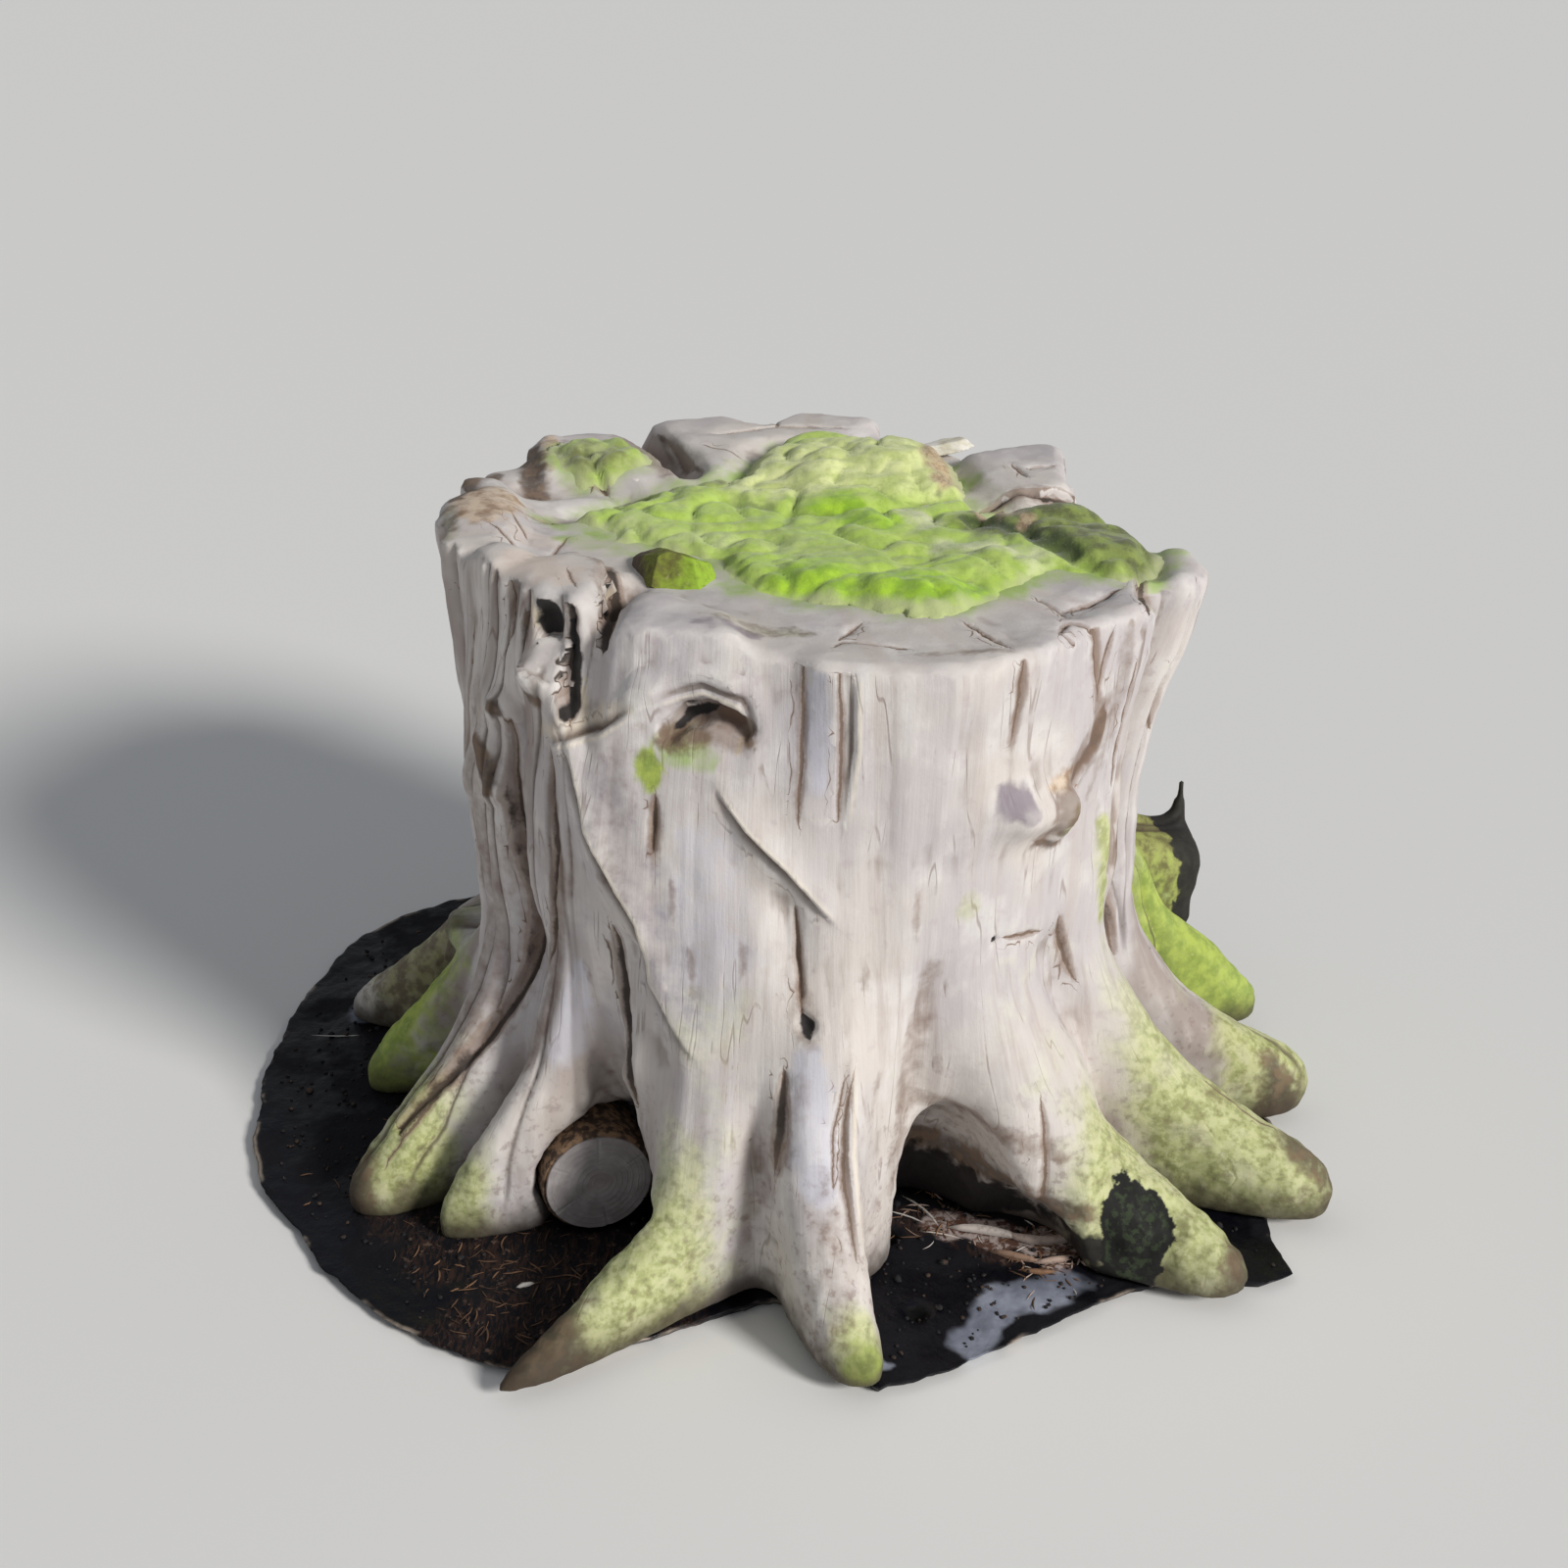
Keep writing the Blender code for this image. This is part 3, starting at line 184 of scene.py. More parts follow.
# Edges where one sheet of wood overlaps the next, as (path of (azimuth, height), how far it stands out, how
# deep the step under it is, the width of the sheet's rise). The sheet lies on the left of the path.
LIP_REACH = 0.05
LIP_STEP = 0.0026
LIP_UNDER = 0.007
LIP_PAINT_REACH = 0.012
LIPS = [
    ([(-133, 0.44), (-129.5, 0.419), (-124.5, 0.361), (-119.4, 0.321), (-116, 0.298), (-114.3, 0.25),
      (-110.3, 0.228), (-105, 0.204)], 0.0045, 0.005, 0.016),
    ([(-102.5, 0.405), (-101.2, 0.397), (-97.6, 0.378), (-91.3, 0.353), (-83.6, 0.311)],
     0.0065, 0.006, 0.007),
    ([(-96.5, 0.44), (-99, 0.464), (-106, 0.471), (-113, 0.462)], 0.004, 0.005, 0.01),
    ([(-118, 0.452), (-124, 0.432), (-133, 0.416)], 0.005, 0.006, 0.01),
    ([(-80.5, 0.5), (-80.5, 0.44), (-82, 0.385)], 0.003, 0.003, 0.01),
    ([(-81.5, 0.215), (-82.5, 0.15), (-81.5, 0.08)], 0.002, 0.003, 0.012),
]

# Rounded rises above 0 and dents below it, as (path, half width, height)
BUMPS = {
    "side": [
        ([(-137.6, 0.463)], 0.016, 0.006), ([(-150.2, 0.418)], 0.012, 0.005),
        ([(-154.1, 0.385), (-151, 0.352)], 0.011, 0.005), ([(-138.5, 0.5), (-137, 0.478)], 0.009, -0.009),
        ([(-111.5, 0.44), (-108.8, 0.45), (-103.5, 0.455), (-98.5, 0.446)], 0.008, -0.01),
        ([(-88, 0.236)], 0.007, -0.006), ([(-56.1, 0.277)], 0.004, -0.004),
        ([(-86.1, 0.484), (-86, 0.4)], 0.01, -0.002),
        ([(-35, 0.424), (-35.5, 0.4), (-40.2, 0.383)], 0.006, 0.003), ([(86, 0.36)], 0.012, -0.005),
        ([(-29, 0.47), (-30, 0.3)], 0.01, 0.003), ([(-24, 0.48), (-25, 0.28)], 0.008, -0.003),
        ([(-70, 0.46), (-70, 0.3)], 0.03, 0.002), ([(-45.5, 0.374), (-44.0, 0.354)], 0.013, 0.008),
    ],
    "top": [
        ([(-0.24, 0.075), (-0.236, 0.02)], 0.028, 0.004),
        ([(-0.208, 0.25), (-0.2, 0.165)], 0.01, 0.004),
    ],
    "root": [
        ([(-47.0, 0.347), (-43.4, 0.378)], 0.015, -0.01),
    ],
}

# Soft stains and painted shade of each colour, as (path, half width, strength). On the roots they grow along
# their path.
STAINS_AND_SHADE = {
    "side": {
        "brown": [
            ([(-158, 0.42), (-154, 0.25), (-152, 0.12)], 0.03, 0.6),
            ([(-132, 0.32), (-135, 0.22), (-138, 0.15)], 0.012, 0.7),
            ([(-128, 0.25), (-127, 0.21)], 0.004, 0.6), ([(-129.5, 0.36), (-130, 0.3)], 0.004, 0.6),
            ([(-110, 0.34), (-109.5, 0.29)], 0.004, 0.6), ([(-107, 0.285), (-106, 0.245)], 0.004, 0.6),
            ([(-77.7, 0.288), (-78.9, 0.253)], 0.004, 0.6), ([(-76, 0.2), (-78.5, 0.16)], 0.004, 0.6),
            ([(-70, 0.33), (-70.5, 0.29)], 0.004, 0.6), ([(-98, 0.3), (-98, 0.255)], 0.004, 0.6),
            ([(-55.1, 0.495), (-56, 0.43)], 0.006, 0.8),
            ([(-38.1, 0.5), (-37.3, 0.441), (-36.5, 0.42)], 0.007, 0.9),
            # These three are brown stain and painted shade: along the edges of the arch and down a valley at
            # the front
            ([(-67, 0.27), (-70, 0.15), (-73, 0.08)], 0.013, 0.6),
            ([(-70, 0.152), (-62.5, 0.142), (-51, 0.112)], 0.01, 0.7),
            ([(-88.5, 0.2), (-93, 0.14), (-96, 0.08)], 0.012, 0.5),
            ([(-112, 0.436), (-104, 0.445), (-97.5, 0.438)], 0.015, 0.8),
            ([(-112.8, 0.395), (-112.4, 0.35)], 0.007, 0.9), ([(-89, 0.49), (-89.5, 0.39)], 0.006, 0.4),
            ([(-34.5, 0.435), (-37, 0.405), (-42, 0.392), (-46.5, 0.375), (-49, 0.35)], 0.015, 0.9),
            ([(-27.5, 0.48), (-26.5, 0.36), (-23, 0.28)], 0.009, 0.8),
            ([(-89, 0.262), (-87.6, 0.224)], 0.014, 0.6),
            ([(-19, 0.5), (-17, 0.36), (-17, 0.2)], 0.014, 0.7),
            ([(-31, 0.5), (-32, 0.4), (-36, 0.36)], 0.008, 0.6),
            ([(-117, 0.44), (-121, 0.37), (-119, 0.31)], 0.02, 0.4),
            ([(-147, 0.36), (-146, 0.24), (-150, 0.12)], 0.016, 0.5),
            ([(-40.5, 0.27), (-35.7, 0.208)], 0.009, 0.5),
        ],
        "violet": [
            # Painted shade: violet on the panels turned away from the light
            ([(-122, 0.4), (-113, 0.31), (-109, 0.22)], 0.032, 0.45),
            ([(-143, 0.42), (-140, 0.28), (-138, 0.15)], 0.05, 0.35),
            ([(-111.6, 0.253), (-107.5, 0.243), (-103.9, 0.223)], 0.01, 0.5),
            # Painted shadow: the knob's cast shadow, to its left
            ([(-57, 0.398), (-54.5, 0.384)], 0.015, 1.0),
        ],
        "char": [
            # Painted shade: black in the arch, the knot holes, the cleft and the pits
            ([(-64, 0.03), (-50, 0.03)], 0.036, 0.9), ([(-138.8, 0.508), (-137, 0.474)], 0.012, 1.0),
            ([(-132.4, 0.5), (-131.8, 0.465), (-130.4, 0.438)], 0.0065, 1.0),
            ([(-111.5, 0.438), (-108.8, 0.449), (-104.5, 0.453)], 0.005, 0.9),
            ([(-56.1, 0.277)], 0.0045, 1.0), ([(-88.2, 0.24), (-87.6, 0.23)], 0.006, 0.9),
        ],
        "earth": [
            # The first is painted shade at the mouth of the arch; the rest are real brown patches
            ([(-66, 0.07), (-50, 0.066)], 0.022, 0.8), ([(-150.2, 0.418)], 0.013, 1.0),
            ([(-154.1, 0.385), (-151, 0.352)], 0.011, 1.0), ([(-141.5, 0.448), (-136, 0.44)], 0.008, 0.8),
            ([(-143, 0.5), (-142.5, 0.47)], 0.006, 0.8),
            ([(-104.5, 0.452), (-98.5, 0.445), (-97.0, 0.436)], 0.006, 0.9),
            ([(-35, 0.43), (-36.5, 0.405), (-42.0, 0.388)], 0.007, 0.9),
            ([(-50, 0.35), (-45, 0.338), (-42, 0.345)], 0.005, 0.8),
            ([(-21.5, 0.31), (-20.5, 0.25), (-18, 0.2)], 0.01, 0.9), ([(86, 0.36)], 0.012, 0.9),
        ],
        "cream": [
            ([(-142, 0.514), (-139.5, 0.482)], 0.003, 0.9),
            ([(-129.7, 0.461), (-129.1, 0.446), (-128.2, 0.434)], 0.004, 0.9),
            ([(-137, 0.421), (-128.8, 0.43), (-118.8, 0.456)], 0.012, 0.6),
            ([(-99.3, 0.432), (-97.6, 0.449)], 0.004, 1.0),
        ],
        "pale": [
            ([(-137.6, 0.463)], 0.017, 1.0), ([(-119.5, 0.497), (-116.2, 0.461)], 0.014, 0.8),
            ([(-81.2, 0.497), (-80.9, 0.444), (-82, 0.385)], 0.004, 1.0),
        ],
        "vivid": [([(-114.6, 0.42), (-113.7, 0.403)], 0.012, 1.0)],
        "olive": [
            ([(-113.6, 0.434), (-105, 0.437)], 0.01, 0.8), ([(-45.5, 0.374), (-43.8, 0.35)], 0.012, 0.8),
        ],
        "moss": [([(-112, 0.424), (-103, 0.426)], 0.012, 0.7)],
        "cool": [
            ([(-86, 0.49), (-86.1, 0.41)], 0.012, 0.7),
            ([(-87.5, 0.218), (-88, 0.175), (-86.5, 0.13)], 0.017, 0.9),
            ([(-104, 0.36), (-104, 0.24)], 0.05, 0.6), ([(-129, 0.24), (-132, 0.16)], 0.016, 0.7),
        ],
        "tan": [([(-48.5, 0.392), (-43, 0.396)], 0.008, 0.8)],
        "rust": [([(-40.5, 0.378)], 0.004, 1.0)],
        "algae": [([(-31.1, 0.332), (-27, 0.245)], 0.014, 0.8), ([(-62.2, 0.314)], 0.022, 0.45)],
    },
    "top": {
        "tan": [
            ([(-0.24, 0.085), (-0.236, 0.02)], 0.032, 1.0),
            ([(-0.208, 0.25), (-0.2, 0.165)], 0.012, 0.8), ([(0.151, 0.061), (0.16, 0.035)], 0.014, 0.9),
        ],
        "earth": [
            ([(-0.224, 0.23), (-0.206, 0.12)], 0.014, 0.9),
            ([(-0.245, 0.17), (-0.262, 0.1), (-0.262, 0.06)], 0.013, 0.8),
        ],
        "olive": [
            ([(-0.266, 0.044), (-0.256, -0.02)], 0.01, 0.6),
            ([(-0.06, -0.178), (0.000, -0.184)], 0.014, 0.5),
            ([(-0.018, -0.183), (0.01, -0.186)], 0.012, 0.6),
        ],
        "brown": [
            ([(-0.15, 0.3), (-0.1, 0.165)], 0.022, 0.7),
            ([(-0.137, -0.06), (-0.126, -0.15)], 0.014, 0.7),
            ([(0.155, 0.082), (0.215, 0.096)], 0.012, 0.7), ([(0.082, -0.222), (0.148, -0.216)], 0.007, 0.6),
            ([(0.181, -0.186), (0.2, -0.176)], 0.01, 0.3),
        ],
        "pale": [([(-0.19, 0.102), (-0.145, 0.1)], 0.024, 0.8)],
        "moss": [
            ([(-0.199, 0.068), (-0.171, 0.046)], 0.024, 0.8),
            ([(-0.17, 0.01), (-0.13, -0.01), (-0.09, -0.02)], 0.028, 0.6),
            ([(0.258, -0.052), (0.268, -0.11), (0.264, -0.15)], 0.016, 0.8),
        ],
        "peach": [
            ([(-0.2, -0.08), (-0.16, -0.13)], 0.03, 0.7),
            ([(-0.215, 0.01), (-0.18, -0.01)], 0.024, 0.5),
        ],
        "violet": [
            # The violet by the front rim is painted shade
            ([(-0.067, -0.196), (-0.025, -0.194)], 0.012, 0.7),
            ([(-0.105, 0.02), (-0.08, 0.01)], 0.012, 0.6), ([(0.17, 0.2), (0.21, 0.13)], 0.03, 0.2),
        ],
        # Painted shade: black in a gap on the top
        "char": [([(0.128, 0.056), (0.143, 0.056)], 0.007, 0.9)],
    },
    "root": {
        "olive": [
            ([(164, 0.27), (163, 0.36)], 0.04, 0.8), ([(40, 0.28), (35, 0.36), (33, 0.43)], 0.06, 1.0),
        ],
        "pale": [([(165, 0.36), (163, 0.41)], 0.018, 1.0), ([(-176.5, 0.32)], 0.016, 0.9)],
        "vivid": [
            ([(172, 0.26), (176, 0.31), (178, 0.35)], 0.045, 0.9),
            ([(-82.5, 0.366), (-82, 0.388)], 0.022, 0.6), ([(15, 0.25), (15, 0.35), (16, 0.44)], 0.06, 1.1),
            ([(33, 0.25), (31, 0.36), (31, 0.42)], 0.06, 0.9), ([(124, 0.33), (126, 0.44)], 0.046, 0.7),
        ],
        "algae": [
            ([(-148.5, 0.28), (-150.5, 0.34), (-153, 0.39)], 0.04, 0.85),
            ([(-137, 0.3), (-139, 0.33), (-141, 0.35)], 0.028, 0.8),
            ([(-102, 0.255), (-105, 0.31), (-110, 0.36), (-116, 0.4), (-119, 0.44)], 0.044, 1.05),
            ([(-83.5, 0.35), (-82.5, 0.385)], 0.028, 0.7),
            ([(-50, 0.28), (-43, 0.35), (-39.5, 0.42), (-38.5, 0.44)], 0.06, 1.0),
            ([(-32, 0.26), (-27, 0.33), (-24, 0.375), (-23, 0.44)], 0.05, 0.95),
            ([(-8, 0.33), (-4, 0.4), (-3, 0.43)], 0.046, 0.95), ([(64, 0.34), (68, 0.43)], 0.05, 0.85),
            ([(94, 0.34), (107, 0.41)], 0.05, 0.85), ([(147, 0.32), (144, 0.41)], 0.046, 0.85),
        ],
        "earth": [
            ([(-150, 0.36), (-153, 0.4)], 0.04, 0.8),
            ([(-110, 0.36), (-116, 0.4), (-119, 0.44)], 0.04, 0.9),
            ([(-24, 0.4), (-22, 0.445)], 0.024, 0.8), ([(-40, 0.405), (-38.5, 0.44)], 0.026, 0.7),
            ([(-8, 0.38), (-7, 0.43)], 0.016, 0.9),
        ],
        "brown": [([(-86, 0.3), (-86, 0.36)], 0.02, 0.5), ([(-26, 0.345), (-25, 0.365)], 0.016, 0.4)],
        "char": [
            ([(-19, 0.462), (-19.8, 0.445)], 0.012, 0.8), ([(0, 0.452)], 0.012, 0.9),
            ([(15, 0.44), (17, 0.452)], 0.016, 1.0),
        ],
    },
}

# The rotten hollow on the front right root, painted black inside as its shade
HOLLOW = [(-46.0, 0.352), (-43.8, 0.370)]
HOLLOW_SIZE = 0.0145

# The broken root at the right, and how far its slanting end turns from the way it grows
BROKEN_ROOT_AZIMUTH = 33
BROKEN_ROOT_TURN = -20
BROKEN_ROOT_SPREAD = 14
BROKEN_ROOT_HEIGHT = 0.172
BROKEN_ROOT_REACH = 0.36

# The moss on the sawn top: outlines of (x, y) and lumps of (x, y, radius, height)
CUSHION_OUTLINE = [
    (-0.166, 0.052), (-0.162, 0.088), (-0.134, 0.122), (-0.092, 0.14), (-0.048, 0.148), (-0.036, 0.185),
    (-0.012, 0.23), (0.03, 0.248), (0.07, 0.24), (0.102, 0.205), (0.132, 0.176), (0.138, 0.13),
    (0.15, 0.078), (0.176, 0.058), (0.214, 0.066), (0.24, 0.046), (0.266, 0.014), (0.282, -0.016),
    (0.274, -0.048), (0.258, -0.076), (0.24, -0.086), (0.222, -0.084), (0.19, -0.072), (0.17, -0.086),
    (0.15, -0.118), (0.118, -0.146), (0.084, -0.152), (0.042, -0.134), (0.000, -0.12), (-0.034, -0.11),
    (-0.044, -0.08), (-0.066, -0.036), (-0.1, -0.014), (-0.136, 0.004),
]
CUSHION_LUMPS = [
    (0.052, 0.18, 0.062, 0.017), (0.1, 0.165, 0.042, 0.016), (0.006, 0.15, 0.046, 0.012),
    (0.02, 0.215, 0.036, 0.01), (0.196, 0.006, 0.044, 0.012), (0.236, -0.03, 0.036, 0.012),
    (0.21, 0.04, 0.03, 0.01), (0.088, -0.122, 0.034, 0.013), (0.036, -0.108, 0.028, 0.008),
    (0.058, 0.024, 0.028, 0.01), (-0.06, 0.104, 0.038, 0.006), (0.006, -0.074, 0.034, 0.007),
    (-0.11, 0.06, 0.04, 0.004), (0.14, -0.06, 0.034, 0.008), (0.045, 0.112, 0.046, 0.009),
    (0.1, 0.132, 0.036, 0.009),
]
LEFT_MOSS_OUTLINE = [
    (-0.206, 0.184), (-0.206, 0.206), (-0.19, 0.23), (-0.166, 0.242), (-0.142, 0.238), (-0.124, 0.214),
    (-0.116, 0.188), (-0.124, 0.158), (-0.146, 0.142), (-0.172, 0.144), (-0.194, 0.166),
]
LEFT_MOSS_LUMPS = [(-0.15, 0.192, 0.034, 0.007), (-0.192, 0.224, 0.03, 0.006)]
MOSS_GRID = 0.0026
MOSS_MARGIN = 0.012
MOSS_LOWEST = 0.462
MOSS_LOOK_DOWN_FROM = 0.60
MOSS_SUNK = 0.0025
MOSS_BODY = 0.0070

# Marks of each colour on the moss, as (path, half width, strength), among them painted shade along its
# creases, and creases, as (path, half width, depth)
MOSS_MARKS = {
    "vivid": [
        ([(0.012, -0.098), (0.06, -0.12), (0.12, -0.128)], 0.036, 1.0),
        ([(0.034, 0.064), (0.066, 0.02)], 0.022, 1.0), ([(-0.03, -0.05), (0.03, -0.06)], 0.03, 0.4),
    ],
    # Painted shade along the creases of the moss
    "deep": [
        ([(0.14, 0.034), (0.178, -0.006), (0.205, -0.045)], 0.009, 0.8),
        ([(-0.036, 0.074), (0.009, 0.05), (0.03, 0.052)], 0.006, 0.5),
        ([(0.08, 0.062), (0.12, 0.095)], 0.006, 0.6),
    ],
    "olive": [
        ([(0.168, 0.03), (0.225, 0.005), (0.268, -0.05)], 0.05, 1.0),
        ([(-0.15, 0.104), (-0.06, 0.122)], 0.012, 0.7),
    ],
    "mint": [
        ([(0.088, 0.05), (0.104, 0.026)], 0.016, 0.9), ([(0.12, -0.024), (0.172, -0.052)], 0.026, 0.8),
        ([(-0.14, 0.02), (-0.06, -0.01), (0.000, -0.02)], 0.026, 0.5),
    ],
    "pale": [([(-0.01, 0.14), (0.06, 0.15), (0.11, 0.15)], 0.07, 1.0)],
    "tan": [
        ([(0.122, 0.196), (0.126, 0.15), (0.126, 0.124)], 0.022, 0.9),
        ([(0.148, 0.056), (0.18, 0.014)], 0.01, 0.7),
    ],
}
MOSS_CREASES = [
    ([(-0.05, 0.084), (0.009, 0.05), (0.062, 0.056), (0.124, 0.098)], 0.011, 0.005),
    ([(0.14, 0.034), (0.178, -0.006), (0.205, -0.045), (0.222, -0.074)], 0.011, 0.006),
]
MOSS_LIGHT = (0.50, 0.66, 0.14)
MOSS_DARK = (0.37, 0.53, 0.07)
LEFT_MOSS_LIGHT = (0.40, 0.46, 0.18)
LEFT_MOSS_DARK = (0.18, 0.20, 0.06)

# Flat faces planed on the chip: the direction each faces, and the share of its reach that stays
CHIP_FACETS = [((-0.90, -0.30, 0.45), 0.80), ((-0.10, -0.90, 0.60), 0.78), ((0.35, 0.35, 1.0), 0.80),
               ((-0.35, 0.20, 1.0), 0.82), ((0.90, -0.40, 0.50), 0.84), ((0.30, 0.90, 0.55), 0.84)]
CHIP_LENGTHWAYS = (0.83, -0.55, 0.10)
CHIP_ACROSS = (0.55, 0.83, 0.0)

# The soil's ragged outline, as (azimuth, radius), its pits, as (path of (x, y), radius), and its patches of
# each kind, as (path of (x, y), size, strength)
SOIL_OUTLINE = [
    (-171, 0.452), (-163, 0.449), (-153, 0.434), (-142, 0.429), (-134, 0.424), (-122, 0.415), (-116, 0.4),
    (-110, 0.347), (-99, 0.294), (-90.5, 0.28), (-85, 0.33), (-81, 0.384), (-74, 0.374), (-68, 0.366),
    (-58, 0.362), (-50, 0.364), (-42, 0.384), (-34, 0.46), (-28, 0.42), (-24, 0.408), (-17, 0.456),
    (-11, 0.42), (-6, 0.404), (-3.6, 0.372), (1.9, 0.454), (6, 0.35), (14, 0.33), (22, 0.38), (35, 0.415),
    (52, 0.405), (68, 0.44), (84, 0.42), (100, 0.43), (116, 0.45), (128, 0.462), (136, 0.49),
    (148, 0.498), (158, 0.478), (168, 0.466), (180, 0.456),
]
SOIL_PITS = [
    ([(0.11, -0.125), (0.16, -0.125)], 0.03), ([(0.07, -0.205)], 0.014), ([(0.092, -0.296)], 0.011),
    ([(-0.222, -0.15)], 0.02),
]
SOIL_PATCHES = {
    # Painted reflections of the sky on smooth soil
    "sky_reflection": [
        ([(0.128, -0.33), (0.15, -0.285), (0.205, -0.262)], 0.026, 1.0),
        ([(0.06, -0.35), (0.04, -0.335)], 0.012, 1.0), ([(-0.3, 0.16), (-0.38, 0.12)], 0.03, 1.0),
    ],
    "litter": [
        ([(-0.3, -0.18), (-0.26, -0.07)], 0.06, 1.0),
        ([(-0.26, -0.23), (-0.12, -0.24)], 0.06, 1.0),
        ([(-0.24, -0.33), (-0.16, -0.3), (-0.1, -0.27)], 0.07, 1.0),
        ([(0.15, -0.215), (0.24, -0.22)], 0.04, 1.0), ([(0.06, -0.16), (0.1, -0.19)], 0.024, 1.0),
    ],
    "chaff": [
        ([(0.12, -0.19), (0.18, -0.214), (0.25, -0.212)], 0.026, 1.0), ([(0.2, -0.245)], 0.018, 1.0),
    ],
}
SOIL_SECTORS = 620
SOIL_INNER_RINGS = 64
SOIL_EDGE_RINGS = 26
SOIL_INSET = 0.0032
SOIL_THINNEST = 0.0022
SOIL_PIT_DEPTH = 0.0070

# Litter, as (middle, spread, how many, how pale), and single bits: (x, y, length, width, heading, how pale)
LITTER_SPOTS = [
    ((-0.21, -0.235), 0.07, 60, 0.5), ((-0.29, -0.095), 0.06, 40, 0.4),
    ((-0.09, -0.245), 0.04, 30, 0.5), ((-0.15, -0.3), 0.07, 50, 0.5), ((0.19, -0.225), 0.04, 90, 1.0),
    ((0.1, -0.18), 0.04, 40, 1.0), ((-0.23, -0.3), 0.06, 40, 0.5), ((-0.36, -0.15), 0.06, 16, 0.5),
    ((0.0, 0.39), 0.12, 40, 0.6), ((-0.33, 0.2), 0.08, 30, 0.6), ((0.3, 0.25), 0.07, 30, 0.6),
]
LOOSE_BITS = [
    (-0.199, -0.266, 0.014, 0.006, 20, 1.0), (-0.06, -0.28, 0.01, 0.004, -15, 1.0),
    (0.15, -0.2, 0.06, 0.012, -14, 0.95), (0.19, -0.214, 0.06, 0.011, -8, 0.9),
    (0.215, -0.21, 0.05, 0.008, 10, 0.85), (0.17, -0.232, 0.04, 0.009, -20, 0.7),
    (0.2, -0.236, 0.036, 0.008, 14, 0.75), (0.185, -0.25, 0.026, 0.007, -4, 0.6),
    (0.106, -0.176, 0.06, 0.003, -60, 1.0), (0.09, -0.18, 0.05, 0.002, -30, 1.0),
    (0.12, -0.205, 0.044, 0.002, -20, 0.95), (0.225, -0.24, 0.03, 0.006, -24, 0.75),
    (-0.397, 0.082, 0.06, 0.0018, 3, 1.0),
]
LITTER_HIGHEST = 0.0145
CRUMB_COUNT = 1500
CRUMB_HIGHEST = 0.0140
SOIL_LOOK_DOWN_FROM = 0.05

# The sawn round of dead root
ROUND_FACE_CENTRE = (-0.147, -0.202)
ROUND_HEIGHT = SOIL_TOP + 0.0003 + 0.044
ROUND_RADIUS = 0.0438
ROUND_WOOD_RADIUS = 0.0410
ROUND_LENGTH = 0.0738
ROUND_FACING = -74
ROUND_SECTORS = 192


# Numbers

def smoothstep(low, high, value):
    t = np.clip((value - low) / (high - low), 0.0, 1.0)
    return t * t * (3.0 - 2.0 * t)


def bump(distance, half_width):
    """1 on a path and 0 from half_width on, round in between."""
    return np.clip(1.0 - (distance / half_width) ** 2, 0.0, 1.0) ** 1.5


def stacked(x, y, z=0.0):
    """Points as rows, from their coordinates."""
    return np.stack((x, y, np.broadcast_to(z, len(x))), 1)


def path_distance(path, x, y):
    """Each point's distance to a path, its side (1 on the path's left, -1 on its right), and its share of the
    path's length."""
    path = np.array(path if len(path) > 1 else [path[0], (path[0][0], path[0][1] + 0.0002)], float)
    lengths = np.hypot(*np.diff(path, axis=0).T)
    starts = np.concatenate(([0.0], np.cumsum(lengths)))
    best, side, share = np.full(x.shape, np.inf), np.ones(x.shape), np.zeros(x.shape)
    for a, b, length, start in zip(path[:-1], path[1:], lengths, starts):
        run = (b - a) / length
        t = np.clip((x - a[0]) * run[0] + (y - a[1]) * run[1], 0.0, length)
        off_x, off_y = x - a[0] - t * run[0], y - a[1] - t * run[1]
        distance = np.hypot(off_x, off_y)
        nearer = distance < best
        best = np.where(nearer, distance, best)
        side = np.where(nearer, np.where(run[0] * off_y - run[1] * off_x < 0, -1.0, 1.0), side)
        share = np.where(nearer, (start + t) / starts[-1], share)
    return best, side, share


def tapered(share, end):
    """The width of a stroke along its length: 1 in the middle and end at both ends."""
    return end + (1.0 - end) * np.sin(math.pi * share) ** 0.6


def flat_marks(marks, x, y, wobble, full, clear):
    """A mask for each kind of mark. It fades out between two shares of the mark's half width."""
    masks = {name: np.zeros(len(x)) for name in marks}
    for name, rows in marks.items():
        for path, half_width, strength in rows:
            distance = path_distance(path, x, y)[0] + wobble
            cover = strength * (1.0 - smoothstep(full, clear, distance / half_width))
            masks[name] = np.maximum(masks[name], cover)
    return masks


def depth_inside(outline, x, y):
    """Signed distance to a closed outline: above 0 inside it."""
    distance = path_distance([*outline, outline[0]], x, y)[0]
    inside = np.zeros(np.shape(x), bool)
    for (x1, y1), (x2, y2) in zip(outline, [*outline[1:], outline[0]]):
        if y1 == y2:
            continue
        crosses = (y1 > y) != (y2 > y)
        inside ^= crosses & (x < x1 + (y - y1) * (x2 - x1) / (y2 - y1))
    return np.where(inside, distance, -distance)


def polar_radius(outline, azimuths):
    """The radius of a closed polar outline at each azimuth, rounded between its points."""
    azimuth, radius = (np.array(column, float) for column in zip(*sorted(outline)))
    azimuth = np.concatenate((azimuth - 360, azimuth, azimuth + 360))
    radius = np.tile(radius, 3)
    wrapped = (np.asarray(azimuths, float) + 180.0) % 360.0 - 180.0
    index = np.searchsorted(azimuth, wrapped, side="right") - 1
    share = (wrapped - azimuth[index]) / (azimuth[index + 1] - azimuth[index])
    t = smoothstep(0.0, 1.0, share) * 0.5 + share * 0.5
    return radius[index] * (1 - t) + radius[index + 1] * t


SHUFFLE = np.random.default_rng(NOISE_SEED).permutation(256)
SLOPES = np.random.default_rng(NOISE_SEED + 1).normal(size=(256, 3))
SLOPES /= np.linalg.norm(SLOPES, axis=1)[:, None]


